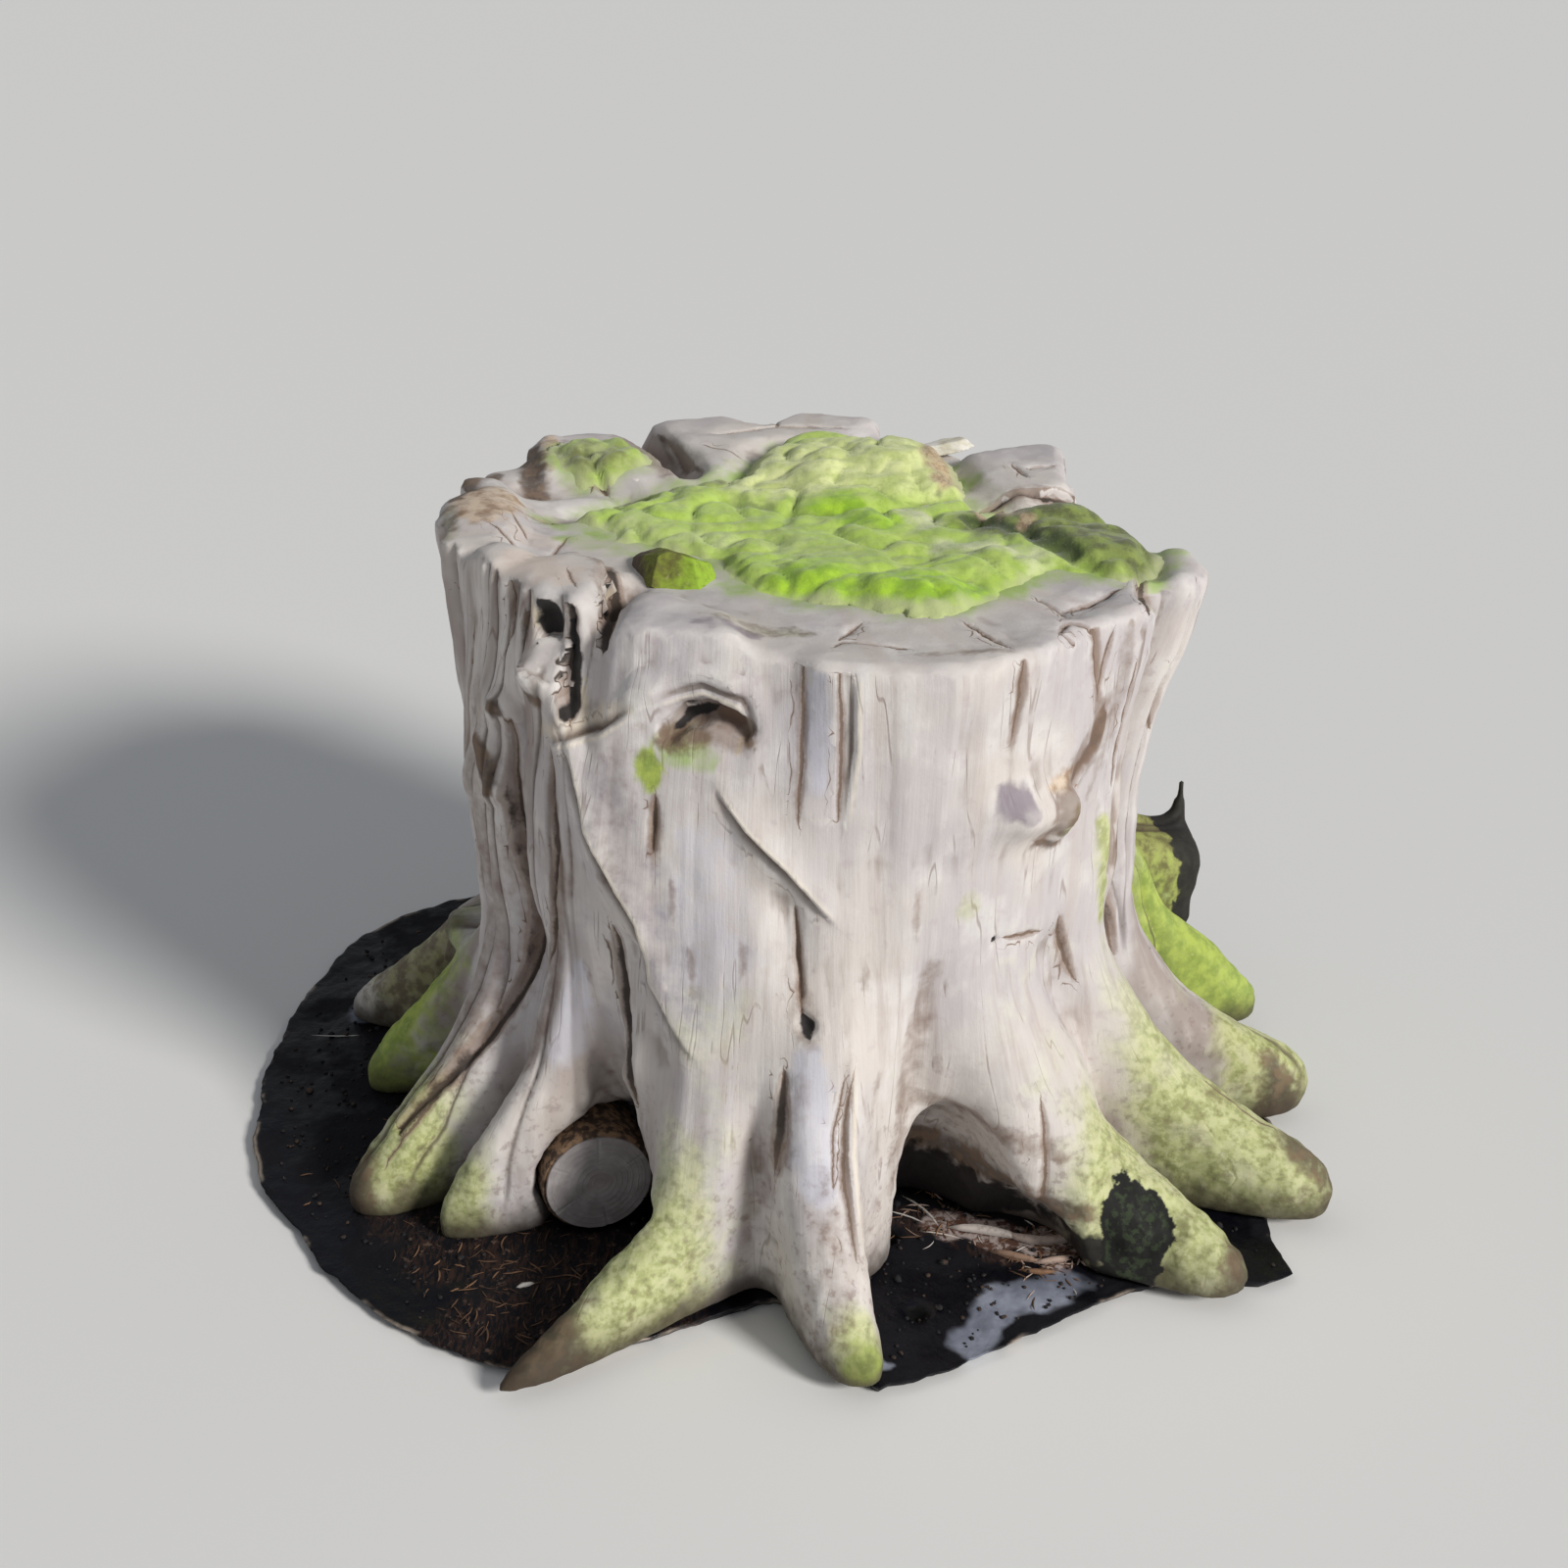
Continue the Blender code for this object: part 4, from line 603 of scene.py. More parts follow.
def ripple(points, size, pattern):
    """Smooth noise in about -1..1 at each point. The size of its lumps is one number, or one for each axis.
    Each pattern number gives other noise."""
    scaled = points / np.array(size) + pattern * NOISE_SHIFT
    cell = np.floor(scaled).astype(np.int64)
    inside = scaled - cell
    blend = inside ** 3 * (inside * (inside * 6 - 15) + 10)
    total = np.zeros(len(points))
    for corner in itertools.product((0, 1), repeat=3):
        corner = np.array(corner)
        key = (cell + corner) & 255
        index = SHUFFLE[(SHUFFLE[(SHUFFLE[key[:, 0]] + key[:, 1]) & 255] + key[:, 2]) & 255]
        weight = np.prod(np.where(corner == 1, blend, 1 - blend), axis=1)
        total += weight * np.einsum("ij,ij->i", SLOPES[index], inside - corner)
    return total * NOISE_GAIN


def billows(points, size, pattern):
    """Round hills with sharp creases between them, from 0 in a crease to about 1 on a hill."""
    return np.minimum(np.abs(ripple(points, size, pattern)) / 0.45, 1.0) ** 0.7


def each(table):
    """Each row of a table of lists, after the name of its list."""
    for name, rows in table.items():
        for row in rows:
            yield name, *row


# Meshes

def placed(name, data):
    item = bpy.data.objects.new(name, data)
    bpy.context.scene.collection.objects.link(item)
    return item


def add_object(name, vertices, faces):
    mesh = bpy.data.meshes.new(name)
    mesh.from_pydata([tuple(v) for v in vertices], [], faces)
    mesh.validate()
    mesh.update()
    return placed(name, mesh)


@contextlib.contextmanager
def editing(source, target=None):
    """Opens a mesh for work on its parts, and writes it back or to another mesh."""
    work = bmesh.new()
    work.from_mesh(source)
    yield work
    work.to_mesh(source if target is None else target)
    work.free()


def welded_copy(node, name):
    mesh = bpy.data.meshes.new(name)
    with editing(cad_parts[node].data, mesh) as work:
        bmesh.ops.remove_doubles(work, verts=work.verts, dist=0.00001)
        bmesh.ops.recalc_face_normals(work, faces=work.faces)
    return placed(name, mesh)


def apply_modifier(item, kind, **settings):
    modifier = item.modifiers.new(kind.lower(), kind)
    for key, value in settings.items():
        setattr(modifier, key, value)
    evaluated = item.evaluated_get(bpy.context.evaluated_depsgraph_get())
    mesh = bpy.data.meshes.new_from_object(evaluated)
    item.modifiers.clear()
    old = item.data
    item.data = mesh
    bpy.data.meshes.remove(old)


def read(parts, name, width, kind=np.float32):
    values = np.empty(len(parts) * width, kind)
    parts.foreach_get(name, values)
    return values.reshape(-1, width)


def coordinates(item):
    return read(item.data.vertices, "co", 3).astype(float)


def normals_of(item):
    return read(item.data.vertex_normals, "vector", 3).astype(float)


def neighbours(item):
    return read(item.data.edges, "vertices", 2, np.int32)


def move_vertices(item, points):
    item.data.vertices.foreach_set("co", points.astype(np.float32).ravel())
    item.data.update()


def relaxed(points, edges, passes, weight):
    """The points after each has moved towards the mean of its neighbours a number of times."""
    count = len(points)
    a, b = edges[:, 0], edges[:, 1]
    valence = np.bincount(a, minlength=count) + np.bincount(b, minlength=count)
    valence = np.maximum(valence, 1)[:, None]
    for _ in range(passes):
        total = np.stack([np.bincount(a, points[b, k], count) + np.bincount(b, points[a, k], count)
                          for k in range(3)], 1)
        points = points + (total / valence - points) * weight
    return points


def store(item, name, values):
    values = np.asarray(values, np.float32)
    kind, key = ("FLOAT_VECTOR", "vector") if values.ndim == 2 else ("FLOAT", "value")
    attribute = item.data.attributes.new(name, kind, "POINT")
    attribute.data.foreach_set(key, values.ravel())


def store_all(item, masks):
    for name, values in masks.items():
        store(item, name, values)


def keep_largest_body(item):
    """Drops sealed bubbles and scraps: only the body with the most vertices stays."""
    edges = neighbours(item)
    label = np.arange(len(item.data.vertices))
    while True:
        low = np.minimum(label[edges[:, 0]], label[edges[:, 1]])
        fresh = label.copy()
        np.minimum.at(fresh, edges[:, 0], low)
        np.minimum.at(fresh, edges[:, 1], low)
        fresh = fresh[fresh]
        if np.array_equal(fresh, label):
            break
        label = fresh
    scraps = np.nonzero(label != np.bincount(label).argmax())[0]
    if not len(scraps):
        return
    with editing(item.data) as work:
        work.verts.ensure_lookup_table()
        bmesh.ops.delete(work, geom=[work.verts[i] for i in scraps], context="VERTS")


def tidy_mesh(item):
    """Drops loose vertices and turns every face outwards."""
    with editing(item.data) as work:
        bmesh.ops.delete(work, geom=[v for v in work.verts if not v.link_faces], context="VERTS")
        bmesh.ops.recalc_face_normals(work, faces=work.faces)


def lofted_faces(rows, sectors):
    """Quads between rings of vertices, with the first and the last ring closed."""
    faces = [tuple(range(sectors))]
    for ring in range(rows - 1):
        for side in range(sectors):
            a, b = ring * sectors + side, ring * sectors + (side + 1) % sectors
            faces.append((a, a + sectors, b + sectors, b))
    faces.append(tuple(reversed(range((rows - 1) * sectors, rows * sectors))))
    return faces


def search_tree(item):
    bpy.context.view_layer.update()
    return BVHTree.FromObject(item, bpy.context.evaluated_depsgraph_get())


def height_below(tree, x, y, start):
    """The height of the surface under a place, or None where there is none."""
    hit = tree.ray_cast(Vector((x, y, start)), Vector((0.0, 0.0, -1.0)))[0]
    return None if hit is None else hit.z


def dress(item, node, material):
    """Gives a finished piece its material and its place in the frame."""
    item.data.materials.clear()
    item.data.materials.append(material)
    item.data.polygons.foreach_set("use_smooth", np.ones(len(item.data.polygons), bool))
    item.data.update()
    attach(item, "root")
    if node:
        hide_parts(node)


# Places on the stump

def side_arc(azimuth, middle):
    """Distance round the trunk from an azimuth."""
    return ((azimuth - middle + 180.0) % 360.0 - 180.0) * math.radians(1.0) * ARC_RADIUS


class Surface:
    """Where a mesh's vertices lie on the stump: on its side, its top or its roots."""

    def __init__(self, item):
        self.points, self.normals = coordinates(item), normals_of(item)
        self.x, self.y, self.z = self.points.T
        self.azimuth = np.degrees(np.arctan2(self.y, self.x))
        self.radius = np.hypot(self.x, self.y)
        on_top = (self.z > TOP_FROM) & (self.normals[:, 2] > TOP_FACING)
        self.allowed = {"side": ~on_top & (self.radius < SIDE_REACH), "top": on_top,
                        "root": (self.z < ROOTS_BELOW) & (self.radius > ROOTS_FROM)}
        self.top = smoothstep(0.45, 0.48, self.z) * smoothstep(0.25, 0.6, self.normals[:, 2])
        radius = np.maximum(self.radius, 0.02)
        along = self.z - np.maximum(radius - 0.25, 0.0)
        self.grain = stacked(self.x / radius * ARC_RADIUS, self.y / radius * ARC_RADIUS, along)
        away = np.abs((self.azimuth + 75.0 + 180.0) % 360.0 - 180.0)
        self.folded = smoothstep(46.0, 68.0, away) * (1.0 - self.top) * smoothstep(0.02, 0.06, self.z)

    def near(self, place, path, margin):
        """The vertices near a path, their distance to it, their side of it and their share of its length."""
        if place == "side":
            middle = sum(point[0] for point in path) / len(path)
            path = [(side_arc(a, middle), h) for a, h in path]
            across, up = side_arc(self.azimuth, middle), self.z
        else:
            if place == "root":
                path = [(r * math.cos(math.radians(a)), r * math.sin(math.radians(a))) for a, r in path]
            across, up = self.x, self.y
        low, high = np.min(path, axis=0) - margin, np.max(path, axis=0) + margin
        inside = (across > low[0]) & (across < high[0]) & (up > low[1]) & (up < high[1])
        chosen = np.nonzero(inside & self.allowed[place])[0]
        return chosen, *path_distance(path, across[chosen], up[chosen])


# The wood

def sky_directions():
    """Directions spread evenly over the sky round a normal, as (across, across, along the normal)."""
    golden = math.pi * (3.0 - math.sqrt(5.0))
    for i in range(SHADE_RAYS):
        up = 1.0 - (i + 0.5) / SHADE_RAYS * SHADE_SPREAD
        flat = math.sqrt(1.0 - up * up)
        yield flat * math.cos(golden * i), flat * math.sin(golden * i), up


def open_shade(item):
    """How much of the sky each vertex sees within a short reach, from 0 in a crevice to 1 in the open."""
    points, normals = coordinates(item), normals_of(item)
    tree = search_tree(item)
    helper = np.where(np.abs(normals[:, 2:3]) < 0.9, (0.0, 0.0, 1.0), (1.0, 0.0, 0.0))
    across = np.cross(helper, normals)
    across /= np.linalg.norm(across, axis=1)[:, None]
    other = np.cross(normals, across)
    open_share = np.zeros(len(points))
    for sx, sy, sz in sky_directions():
        directions = across * sx + other * sy + normals * sz
        for i, (start, direction) in enumerate(zip(points + normals * SHADE_START, directions)):
            hit = tree.ray_cast(start, direction, SHADE_REACH)[3]
            open_share[i] += 1.0 if hit is None else hit / SHADE_REACH
    return open_share / SHADE_RAYS


def sharpened(points, edges, amount, passes):
    """The points with their edges and hollows made crisper again after a relaxing."""
    return points + (points - relaxed(points, edges, passes, 0.5)) * amount


def move_within_box(item, points):
    """Moves the vertices, but none beyond the CAD's box."""
    low_corner, high_corner = (np.array(corner) for corner in CAD_BOX)
    move_vertices(item, np.clip(points, low_corner, high_corner))


def fold_field(surface):
    """Noise that crosses 0 in the creases between the upright folds of the wood."""
    return ripple(surface.grain, FOLD_SIZE, 28)


def carve_marks(move, surface):
    """Adds the cracks, the rises and dents, and the overlapping edges to each vertex's move outwards."""
    wobble = ripple(surface.points, 0.012, 21) * 0.0016
    for place, path, half_width, depth in each(CRACKS):
        chosen, distance, _, share = surface.near(place, path, CRACK_REACH)
        width = np.maximum(half_width * 1.3, 0.0034) * tapered(share, 0.3)
        move[chosen] -= depth * tapered(share, 0.3) * bump(distance + wobble[chosen], width)
    for place, path, half_width, height in each(BUMPS):
        chosen, distance, _, _ = surface.near(place, path, half_width * 1.5)
        move[chosen] += height * bump(distance + wobble[chosen], half_width * 1.3)
    for path, lift, drop, rise_width in LIPS:
        chosen, distance, side, share = surface.near("side", path, LIP_REACH)
        on_sheet = lift * np.exp(-distance / rise_width)
        under = -drop * np.exp(-distance / LIP_UNDER)
        rise = smoothstep(-LIP_STEP, LIP_STEP, side * distance)
        move[chosen] += (under + rise * (on_sheet - under)) * tapered(share, 0.1) * (distance < LIP_REACH)


def carve_grain(move, surface):
    """Adds the upright folds, the ribs of grain and small lumps to each vertex's move outwards."""
    low = smoothstep(0.14, 0.05, surface.z)
    fold = np.sqrt(np.minimum(np.abs(fold_field(surface)) / 0.30, 1.0))
    move += (fold * FOLD_HEIGHT - FOLD_SINK) * surface.folded
    ribs = ripple(surface.grain, RIB_SIZE, 22) * RIB_HEIGHT
    ridges = ripple(surface.grain, RIDGE_SIZE, 23) * RIDGE_HEIGHT
    move += (ribs + ridges) * (1.0 - surface.top) * (1.0 - 0.6 * low)
    move += ripple(surface.points, 0.034, 26) * 0.0012
    move += ripple(surface.points, 0.011, 27) * (0.0003 + 0.0012 * low + 0.0003 * surface.top)
    move *= smoothstep(0.016, 0.034, surface.z)


def carve_wood(item):
    surface = Surface(item)
    move = np.zeros(len(surface.points))
    carve_marks(move, surface)
    carve_grain(move, surface)
    points = surface.points + surface.normals * move[:, None]
    points[:, 2] -= FOOT_SINK * (1.0 - smoothstep(0.0125, 0.024, points[:, 2]))
    move_within_box(item, points)


def store_cracks(item, surface):
    """Stores the signed distance to the nearest crack and that crack's half width, 0 away from cracks."""
    count = len(surface.points)
    ratio, side_of, width_of = np.full(count, 50.0), np.full(count, CRACK_REACH), np.zeros(count)
    for place, path, half_width, _ in each(CRACKS):
        chosen, distance, side, share = surface.near(place, path, CRACK_REACH)
        width = half_width * tapered(share, 0.15) * (1.0 - smoothstep(0.0055, 0.0095, distance))
        fresh = distance / np.maximum(width, 0.0002)
        nearer = fresh < ratio[chosen]
        chosen = chosen[nearer]
        ratio[chosen] = fresh[nearer]
        side_of[chosen] = (side * distance)[nearer]
        width_of[chosen] = width[nearer]
    store(item, "crack_side", side_of)
    store(item, "crack_width", width_of)


def store_lips(item, surface):
    """Stores the signed distance to the strongest overlapping edge and how strong that edge is."""
    count = len(surface.points)
    side_of, strength_of = np.full(count, LIP_PAINT_REACH), np.zeros(count)
    for path, *_ in LIPS:
        chosen, distance, side, share = surface.near("side", path, LIP_PAINT_REACH + 0.002)
        strength = tapered(share, 0.1) * (1.0 - smoothstep(0.008, 0.013, distance))
        nearer = strength > strength_of[chosen]
        chosen = chosen[nearer]
        side_of[chosen] = (side * distance)[nearer]
        strength_of[chosen] = strength[nearer]
    store(item, "lip_side", side_of)
    store(item, "lip_share", strength_of)


def stain_and_shade_masks(surface):
    masks = {name: np.zeros(len(surface.points)) for groups in STAINS_AND_SHADE.values() for name in groups}
    wobble = ripple(surface.points, 0.010, 31) * 0.5 + ripple(surface.points, 0.004, 32) * 0.3
    for place, groups in STAINS_AND_SHADE.items():
        for colour, path, half_width, strength in each(groups):
            chosen, distance, _, share = surface.near(place, path, half_width * 2.2)
            reach = half_width * (1.0 if place == "root" else tapered(share, 0.6))
            ragged = (distance + wobble[chosen] * half_width * 0.5) / reach
            cover = strength * (1.0 - smoothstep(0.25, 1.6, ragged))
            if place == "root" and len(path) > 1:
                cover = cover * (0.25 + 0.75 * smoothstep(0.0, 0.5, share))
            masks[colour][chosen] = np.maximum(masks[colour][chosen], cover)
    film = smoothstep(-0.040, 0.010, depth_inside(CUSHION_OUTLINE, surface.x, surface.y) + wobble * 0.020)
    left_film = smoothstep(-0.026, 0.006, depth_inside(LEFT_MOSS_OUTLINE, surface.x, surface.y))
    masks["moss"] = np.maximum(masks["moss"], np.maximum(film, left_film) * surface.top * 0.8)
    return masks


def broken_end(surface):
    """1 on the black, slanting end of the broken root and 0 elsewhere."""
    azimuth, facing = math.radians(BROKEN_ROOT_AZIMUTH), math.radians(BROKEN_ROOT_AZIMUTH + BROKEN_ROOT_TURN)
    reach = surface.x * math.cos(azimuth) + surface.y * math.sin(azimuth)
    towards = np.array([math.cos(facing), math.sin(facing), 0.0])
    ragged = reach + ripple(surface.points, 0.014, 33) * 0.008 + ripple(surface.points, 0.006, 34) * 0.003
    broken = smoothstep(0.55, 0.80, surface.normals @ towards) * smoothstep(0.39, 0.41, reach)
    broken = np.maximum(broken, smoothstep(0.392, 0.400, ragged) * (surface.z > 0.06))
    near_root = np.abs(surface.azimuth - BROKEN_ROOT_AZIMUTH) < BROKEN_ROOT_SPREAD
    spike = (surface.z > BROKEN_ROOT_HEIGHT) * (reach > BROKEN_ROOT_REACH) * 1.0
    return np.maximum(broken * (surface.z > 0.04) * near_root, spike)


def hollow_mask(surface):
    chosen, distance, _, _ = surface.near("root", HOLLOW, 0.05)
    hollow = np.zeros(len(surface.points))
    hollow[chosen] = 1.0 - smoothstep(0.0, 2.0, distance / HOLLOW_SIZE)
    return hollow


def nearest(points, source):
    """The index of the nearest source point to each point."""
    tree = KDTree(len(source))
    for i, place in enumerate(source):
        tree.insert(place, i)
    tree.balance()
    return np.array([tree.find(place)[1] for place in points])


def wood_masks(item, shade_source, shade):
    """Stores what the material reads: grain, top, folds, shade, cracks, edges, and a mask for each colour of
    stains and painted shade.
    """
    surface = Surface(item)
    soft = relaxed(surface.points, neighbours(item), 6, 0.5)
    dent = np.einsum("ij,ij->i", soft - surface.points, surface.normals)
    masks = stain_and_shade_masks(surface)
    masks["char"] = np.maximum(masks["char"], broken_end(surface))
    store_all(item, {"grain": surface.grain, "top": surface.top, "fold": fold_field(surface),
                     "folded": surface.folded, "open": shade[nearest(surface.points, shade_source)],
                     "dent": np.clip(dent / 0.0012, -1.0, 1.0), "hollow": hollow_mask(surface)})
    store_cracks(item, surface)
    store_lips(item, surface)
    store_all(item, masks)


def wood():
    item = welded_copy("stump", "stump_wood")
    apply_modifier(item, "REMESH", mode="VOXEL", voxel_size=WOOD_VOXEL)
    keep_largest_body(item)
    points, edges = coordinates(item), neighbours(item)
    crisp = smoothstep(0.465, 0.485, points[:, 2])[:, None]
    points = relaxed(points, edges, 9, 0.5 * (1.0 - 0.88 * crisp))
    move_within_box(item, sharpened(points, edges, 0.55 + 0.45 * crisp, 6))
    shade, shade_source = open_shade(item), coordinates(item)
    apply_modifier(item, "SUBSURF", levels=1, render_levels=1)
    carve_wood(item)
    triangles = sum(len(face.vertices) - 2 for face in item.data.polygons)
    apply_modifier(item, "DECIMATE", ratio=min(1.0, WOOD_TRIANGLES / triangles))
    wood_masks(item, shade_source, shade)
    return item


# Moss

def moss_height(lumps, inside, x, y, flat, pattern):
    """How far the moss stands above the wood: thin at its edge, then body, lumps, billows and creases."""
    height = -MOSS_SUNK + MOSS_BODY * smoothstep(-0.003, 0.022, inside)
    for lump_x, lump_y, radius, raised in lumps:
        height = height + raised * 0.85 * bump(np.hypot(x - lump_x, y - lump_y), radius * 1.35)
    body = smoothstep(0.0, 0.020, inside)
    hills = billows(flat, 0.036, pattern + 4) * 0.0060 + billows(flat, 0.015, pattern + 5) * 0.0012
    height = height + body * (hills - 0.0020 + ripple(flat, 0.0060, pattern + 6) * 0.0003)
    for path, half_width, depth in MOSS_CREASES:
        height = height - depth * body * bump(path_distance(path, x, y)[0], half_width)
    return height


def mat(name, shape, kept, upper, lower):
    """A closed mesh between an upper and a lower sheet of points, over the places kept of a grid."""
    count = int(kept.sum())
    index = np.full(len(kept), -1)
    index[kept] = np.arange(count)
    grid = index.reshape(shape)
    corners = np.stack((grid[:-1, :-1], grid[1:, :-1], grid[1:, 1:], grid[:-1, 1:]), -1).reshape(-1, 4)
    quads = corners[(corners >= 0).all(axis=1)].tolist()
    faces = [tuple(q) for q in quads] + [tuple(count + v for v in reversed(q)) for q in quads]
    edge_use = {(q[i], q[(i + 1) % 4]) for q in quads for i in range(4)}
    faces += [(start, count + start, count + end, end) for start, end in sorted(edge_use)
              if (end, start) not in edge_use]
    item = add_object(name, np.concatenate((upper[kept], lower[kept])), faces)
    tidy_mesh(item)
    keep_largest_body(item)
    return item


def moss_sheet(name, outline, lumps, tree, pattern):
    """A closed mat of moss on the wood, thin at its ragged edge and billowing up over its lumps."""
    low, high = np.min(outline, axis=0) - MOSS_MARGIN, np.max(outline, axis=0) + MOSS_MARGIN
    xs, ys = np.arange(low[0], high[0], MOSS_GRID), np.arange(low[1], high[1], MOSS_GRID)
    x, y = (grid.ravel() for grid in np.meshgrid(xs, ys, indexing="ij"))
    flat = stacked(x, y)
    x = x + ripple(flat, 0.006, pattern) * 0.0006
    y = y + ripple(flat, 0.006, pattern + 1) * 0.0006
    inside = depth_inside(outline, x, y)
    inside = inside + ripple(flat, 0.030, pattern + 2) * 0.009 + ripple(flat, 0.010, pattern + 3) * 0.004
    ground = np.array([height_below(tree, a, b, MOSS_LOOK_DOWN_FROM) for a, b in zip(x, y)], float)
    kept = (inside > -0.003) & ~np.isnan(ground) & (ground > MOSS_LOWEST)
    ground = np.where(np.isnan(ground), CUT_HEIGHT, ground)
    upper = np.minimum(ground + moss_height(lumps, inside, x, y, flat, pattern), TOP_LIMIT - 0.0006)
    lower = np.minimum(ground - 0.004, upper - 0.0012)
    item = mat(name, (len(xs), len(ys)), kept, stacked(x, y, upper), stacked(x, y, lower))
    moss_masks(item, outline)
    return item


def moss_masks(item, outline):
    points = coordinates(item)
    x, y, z = points.T
    soft = relaxed(points, neighbours(item), 8, 0.5)
    store(item, "raised", np.clip((z - soft[:, 2]) / 0.0014, -1.0, 1.0))
    store(item, "edge", smoothstep(-0.004, 0.022, depth_inside(outline, x, y)))
    store_all(item, flat_marks(MOSS_MARKS, x, y, ripple(points, 0.016, 41) * 0.010, 0.2, 1.5))


# The loose pieces

def refined_copy(node, name, voxel, passes):
    """A CAD solid remade as an even fine mesh and rounded a little."""
    item = welded_copy(node, name)
    apply_modifier(item, "REMESH", mode="VOXEL", voxel_size=voxel)
    keep_largest_body(item)
    move_vertices(item, relaxed(coordinates(item), neighbours(item), passes, 0.5))
    return item


def faceted(points, facets):
    """Planes off what stands out furthest in each direction, which leaves flat faces with crisp edges."""
    for direction, kept in facets:
        direction = np.array(direction) / np.linalg.norm(direction)
        reach = points @ direction
        limit = reach.min() + (reach.max() - reach.min()) * kept
        points = points - np.maximum(reach - limit, 0.0)[:, None] * direction
    return points


def chip():
    item = refined_copy("mossy_chip", "mossy_chip_wood", 0.0015, 5)
    points = relaxed(faceted(coordinates(item), CHIP_FACETS), neighbours(item), 1, 0.5)
    move_vertices(item, points)
    along, across = points @ np.array(CHIP_LENGTHWAYS), points @ np.array(CHIP_ACROSS)
    fibres = stacked(across, along, points[:, 2])
    move = ripple(fibres, (0.004, 0.030, 0.004), 51) * 0.0006 + ripple(points, 0.010, 52) * 0.0008
    move += ripple(points, 0.0045, 53) * 0.0004
    move_vertices(item, points + normals_of(item) * move[:, None])
    low, high = np.percentile(along, 1), np.percentile(along, 99)
    store(item, "along", (along - low) / (high - low))
    store(item, "fibres", fibres)
    return item


def splinter():
    item = refined_copy("splinter", "splinter_wood", 0.0011, 1)
    points = coordinates(item)
    fibres = points[:, [1, 0, 2]]
    move = ripple(fibres, (0.0028, 0.030, 0.0028), 55) * 0.0006 + ripple(points, 0.012, 56) * 0.0005
    move_vertices(item, points + normals_of(item) * move[:, None])
    store(item, "fibres", fibres)
    return item


def round_profile():
    """Rings from the middle of the round's face to its back, as (radius, how far back, share of the face)."""
    wood_rings = [(share * ROUND_WOOD_RADIUS, 0.0003, share) for share in np.linspace(0.02, 0.985, 40)]
    edge = [(ROUND_WOOD_RADIUS, 0.0010, 1.0), (ROUND_WOOD_RADIUS + 0.0002, 0.0028, 1.02),
            (ROUND_WOOD_RADIUS + 0.0012, 0.0034, 1.06)]
    bark = [(ROUND_RADIUS - 0.0010, 0.0032, 1.10), (ROUND_RADIUS - 0.0002, 0.0044, 1.14)]
    sleeve = [(ROUND_RADIUS, behind, 1.2) for behind in np.linspace(0.006, ROUND_LENGTH - 0.001, 34)]
    back = [(ROUND_RADIUS * share, ROUND_LENGTH, 1.2) for share in (0.96, 0.7, 0.4, 0.05)]
    return [*wood_rings, *edge, *bark, *sleeve, *back]


def round_ring(cos, sin, turn, radius, behind, share):
    """How far back and how far out each point of a ring lies, with checks in the wood and worn bark."""
    spot = stacked(cos * radius, sin * radius, behind)
    wave = ripple(stacked(cos, sin, behind * 14), 0.45, 61)
    if share > 1.0:
        worn = 0.0010 * np.abs(wave) + 0.0007 * np.abs(ripple(spot, 0.006, 63))
        return behind + 0.0008 * np.maximum(wave, 0.0), np.minimum(radius - worn, ROUND_RADIUS)
    depth = 0.0004 + 0.0004 * ripple(spot, 0.009, 62)
    check = bump((turn * 3.0 / math.pi + wave * 0.25) % 1.0 - 0.5, 0.03) * smoothstep(0.3, 0.9, share)
    return behind + depth + check * 0.0012, radius * (1.0 - 0.012 * np.maximum(wave, 0.0) * share)


def sawn_round():
    """The short round: a flat sawn face with fine checks, a wood edge, and a ragged bark sleeve behind it."""
    angle = math.radians(ROUND_FACING)
    axis = np.array([math.cos(angle), math.sin(angle), 0.0])
    up = np.array([0.0, 0.0, 1.0])
    across = np.cross(up, axis)
    centre = np.array([*ROUND_FACE_CENTRE, ROUND_HEIGHT])
    turn = np.arange(ROUND_SECTORS) * 2.0 * math.pi / ROUND_SECTORS
    cos, sin = np.cos(turn), np.sin(turn)
    profile = round_profile()
    rows = []
    for radius, behind, share in profile:
        inner, outer = round_ring(cos, sin, turn, radius, behind, share)
        row = centre - inner[:, None] * axis + (cos * outer)[:, None] * across
        rows.append(row + (sin * outer)[:, None] * up)
    item = add_object("sawn_root_round", np.concatenate(rows), lofted_faces(len(rows), ROUND_SECTORS))
    shares = np.repeat([share for *_, share in profile], ROUND_SECTORS)
    store(item, "share", shares)
    store(item, "face", stacked(np.tile(cos, len(rows)) * shares, np.tile(sin, len(rows)) * shares))
    return item


# The soil and what lies on it

def soil_edge(azimuth):
    """The slab's ragged edge, which stays inside the CAD slab's straight sides."""
    corners = np.arange(-60, 61) * 3.0
    angle = np.radians(azimuth)
    ring = stacked(np.cos(angle) * 0.4, np.sin(angle) * 0.4)
    ragged = ripple(ring, 0.050, 71) * 0.0040 + ripple(ring, 0.016, 72) * 0.0024
    ragged = ragged + ripple(ring, 0.006, 73) * 0.0010
    straight = np.interp(azimuth, corners, polar_radius(SOIL_OUTLINE, corners))
    return straight - SOIL_INSET + np.minimum(ragged, 0.0026)


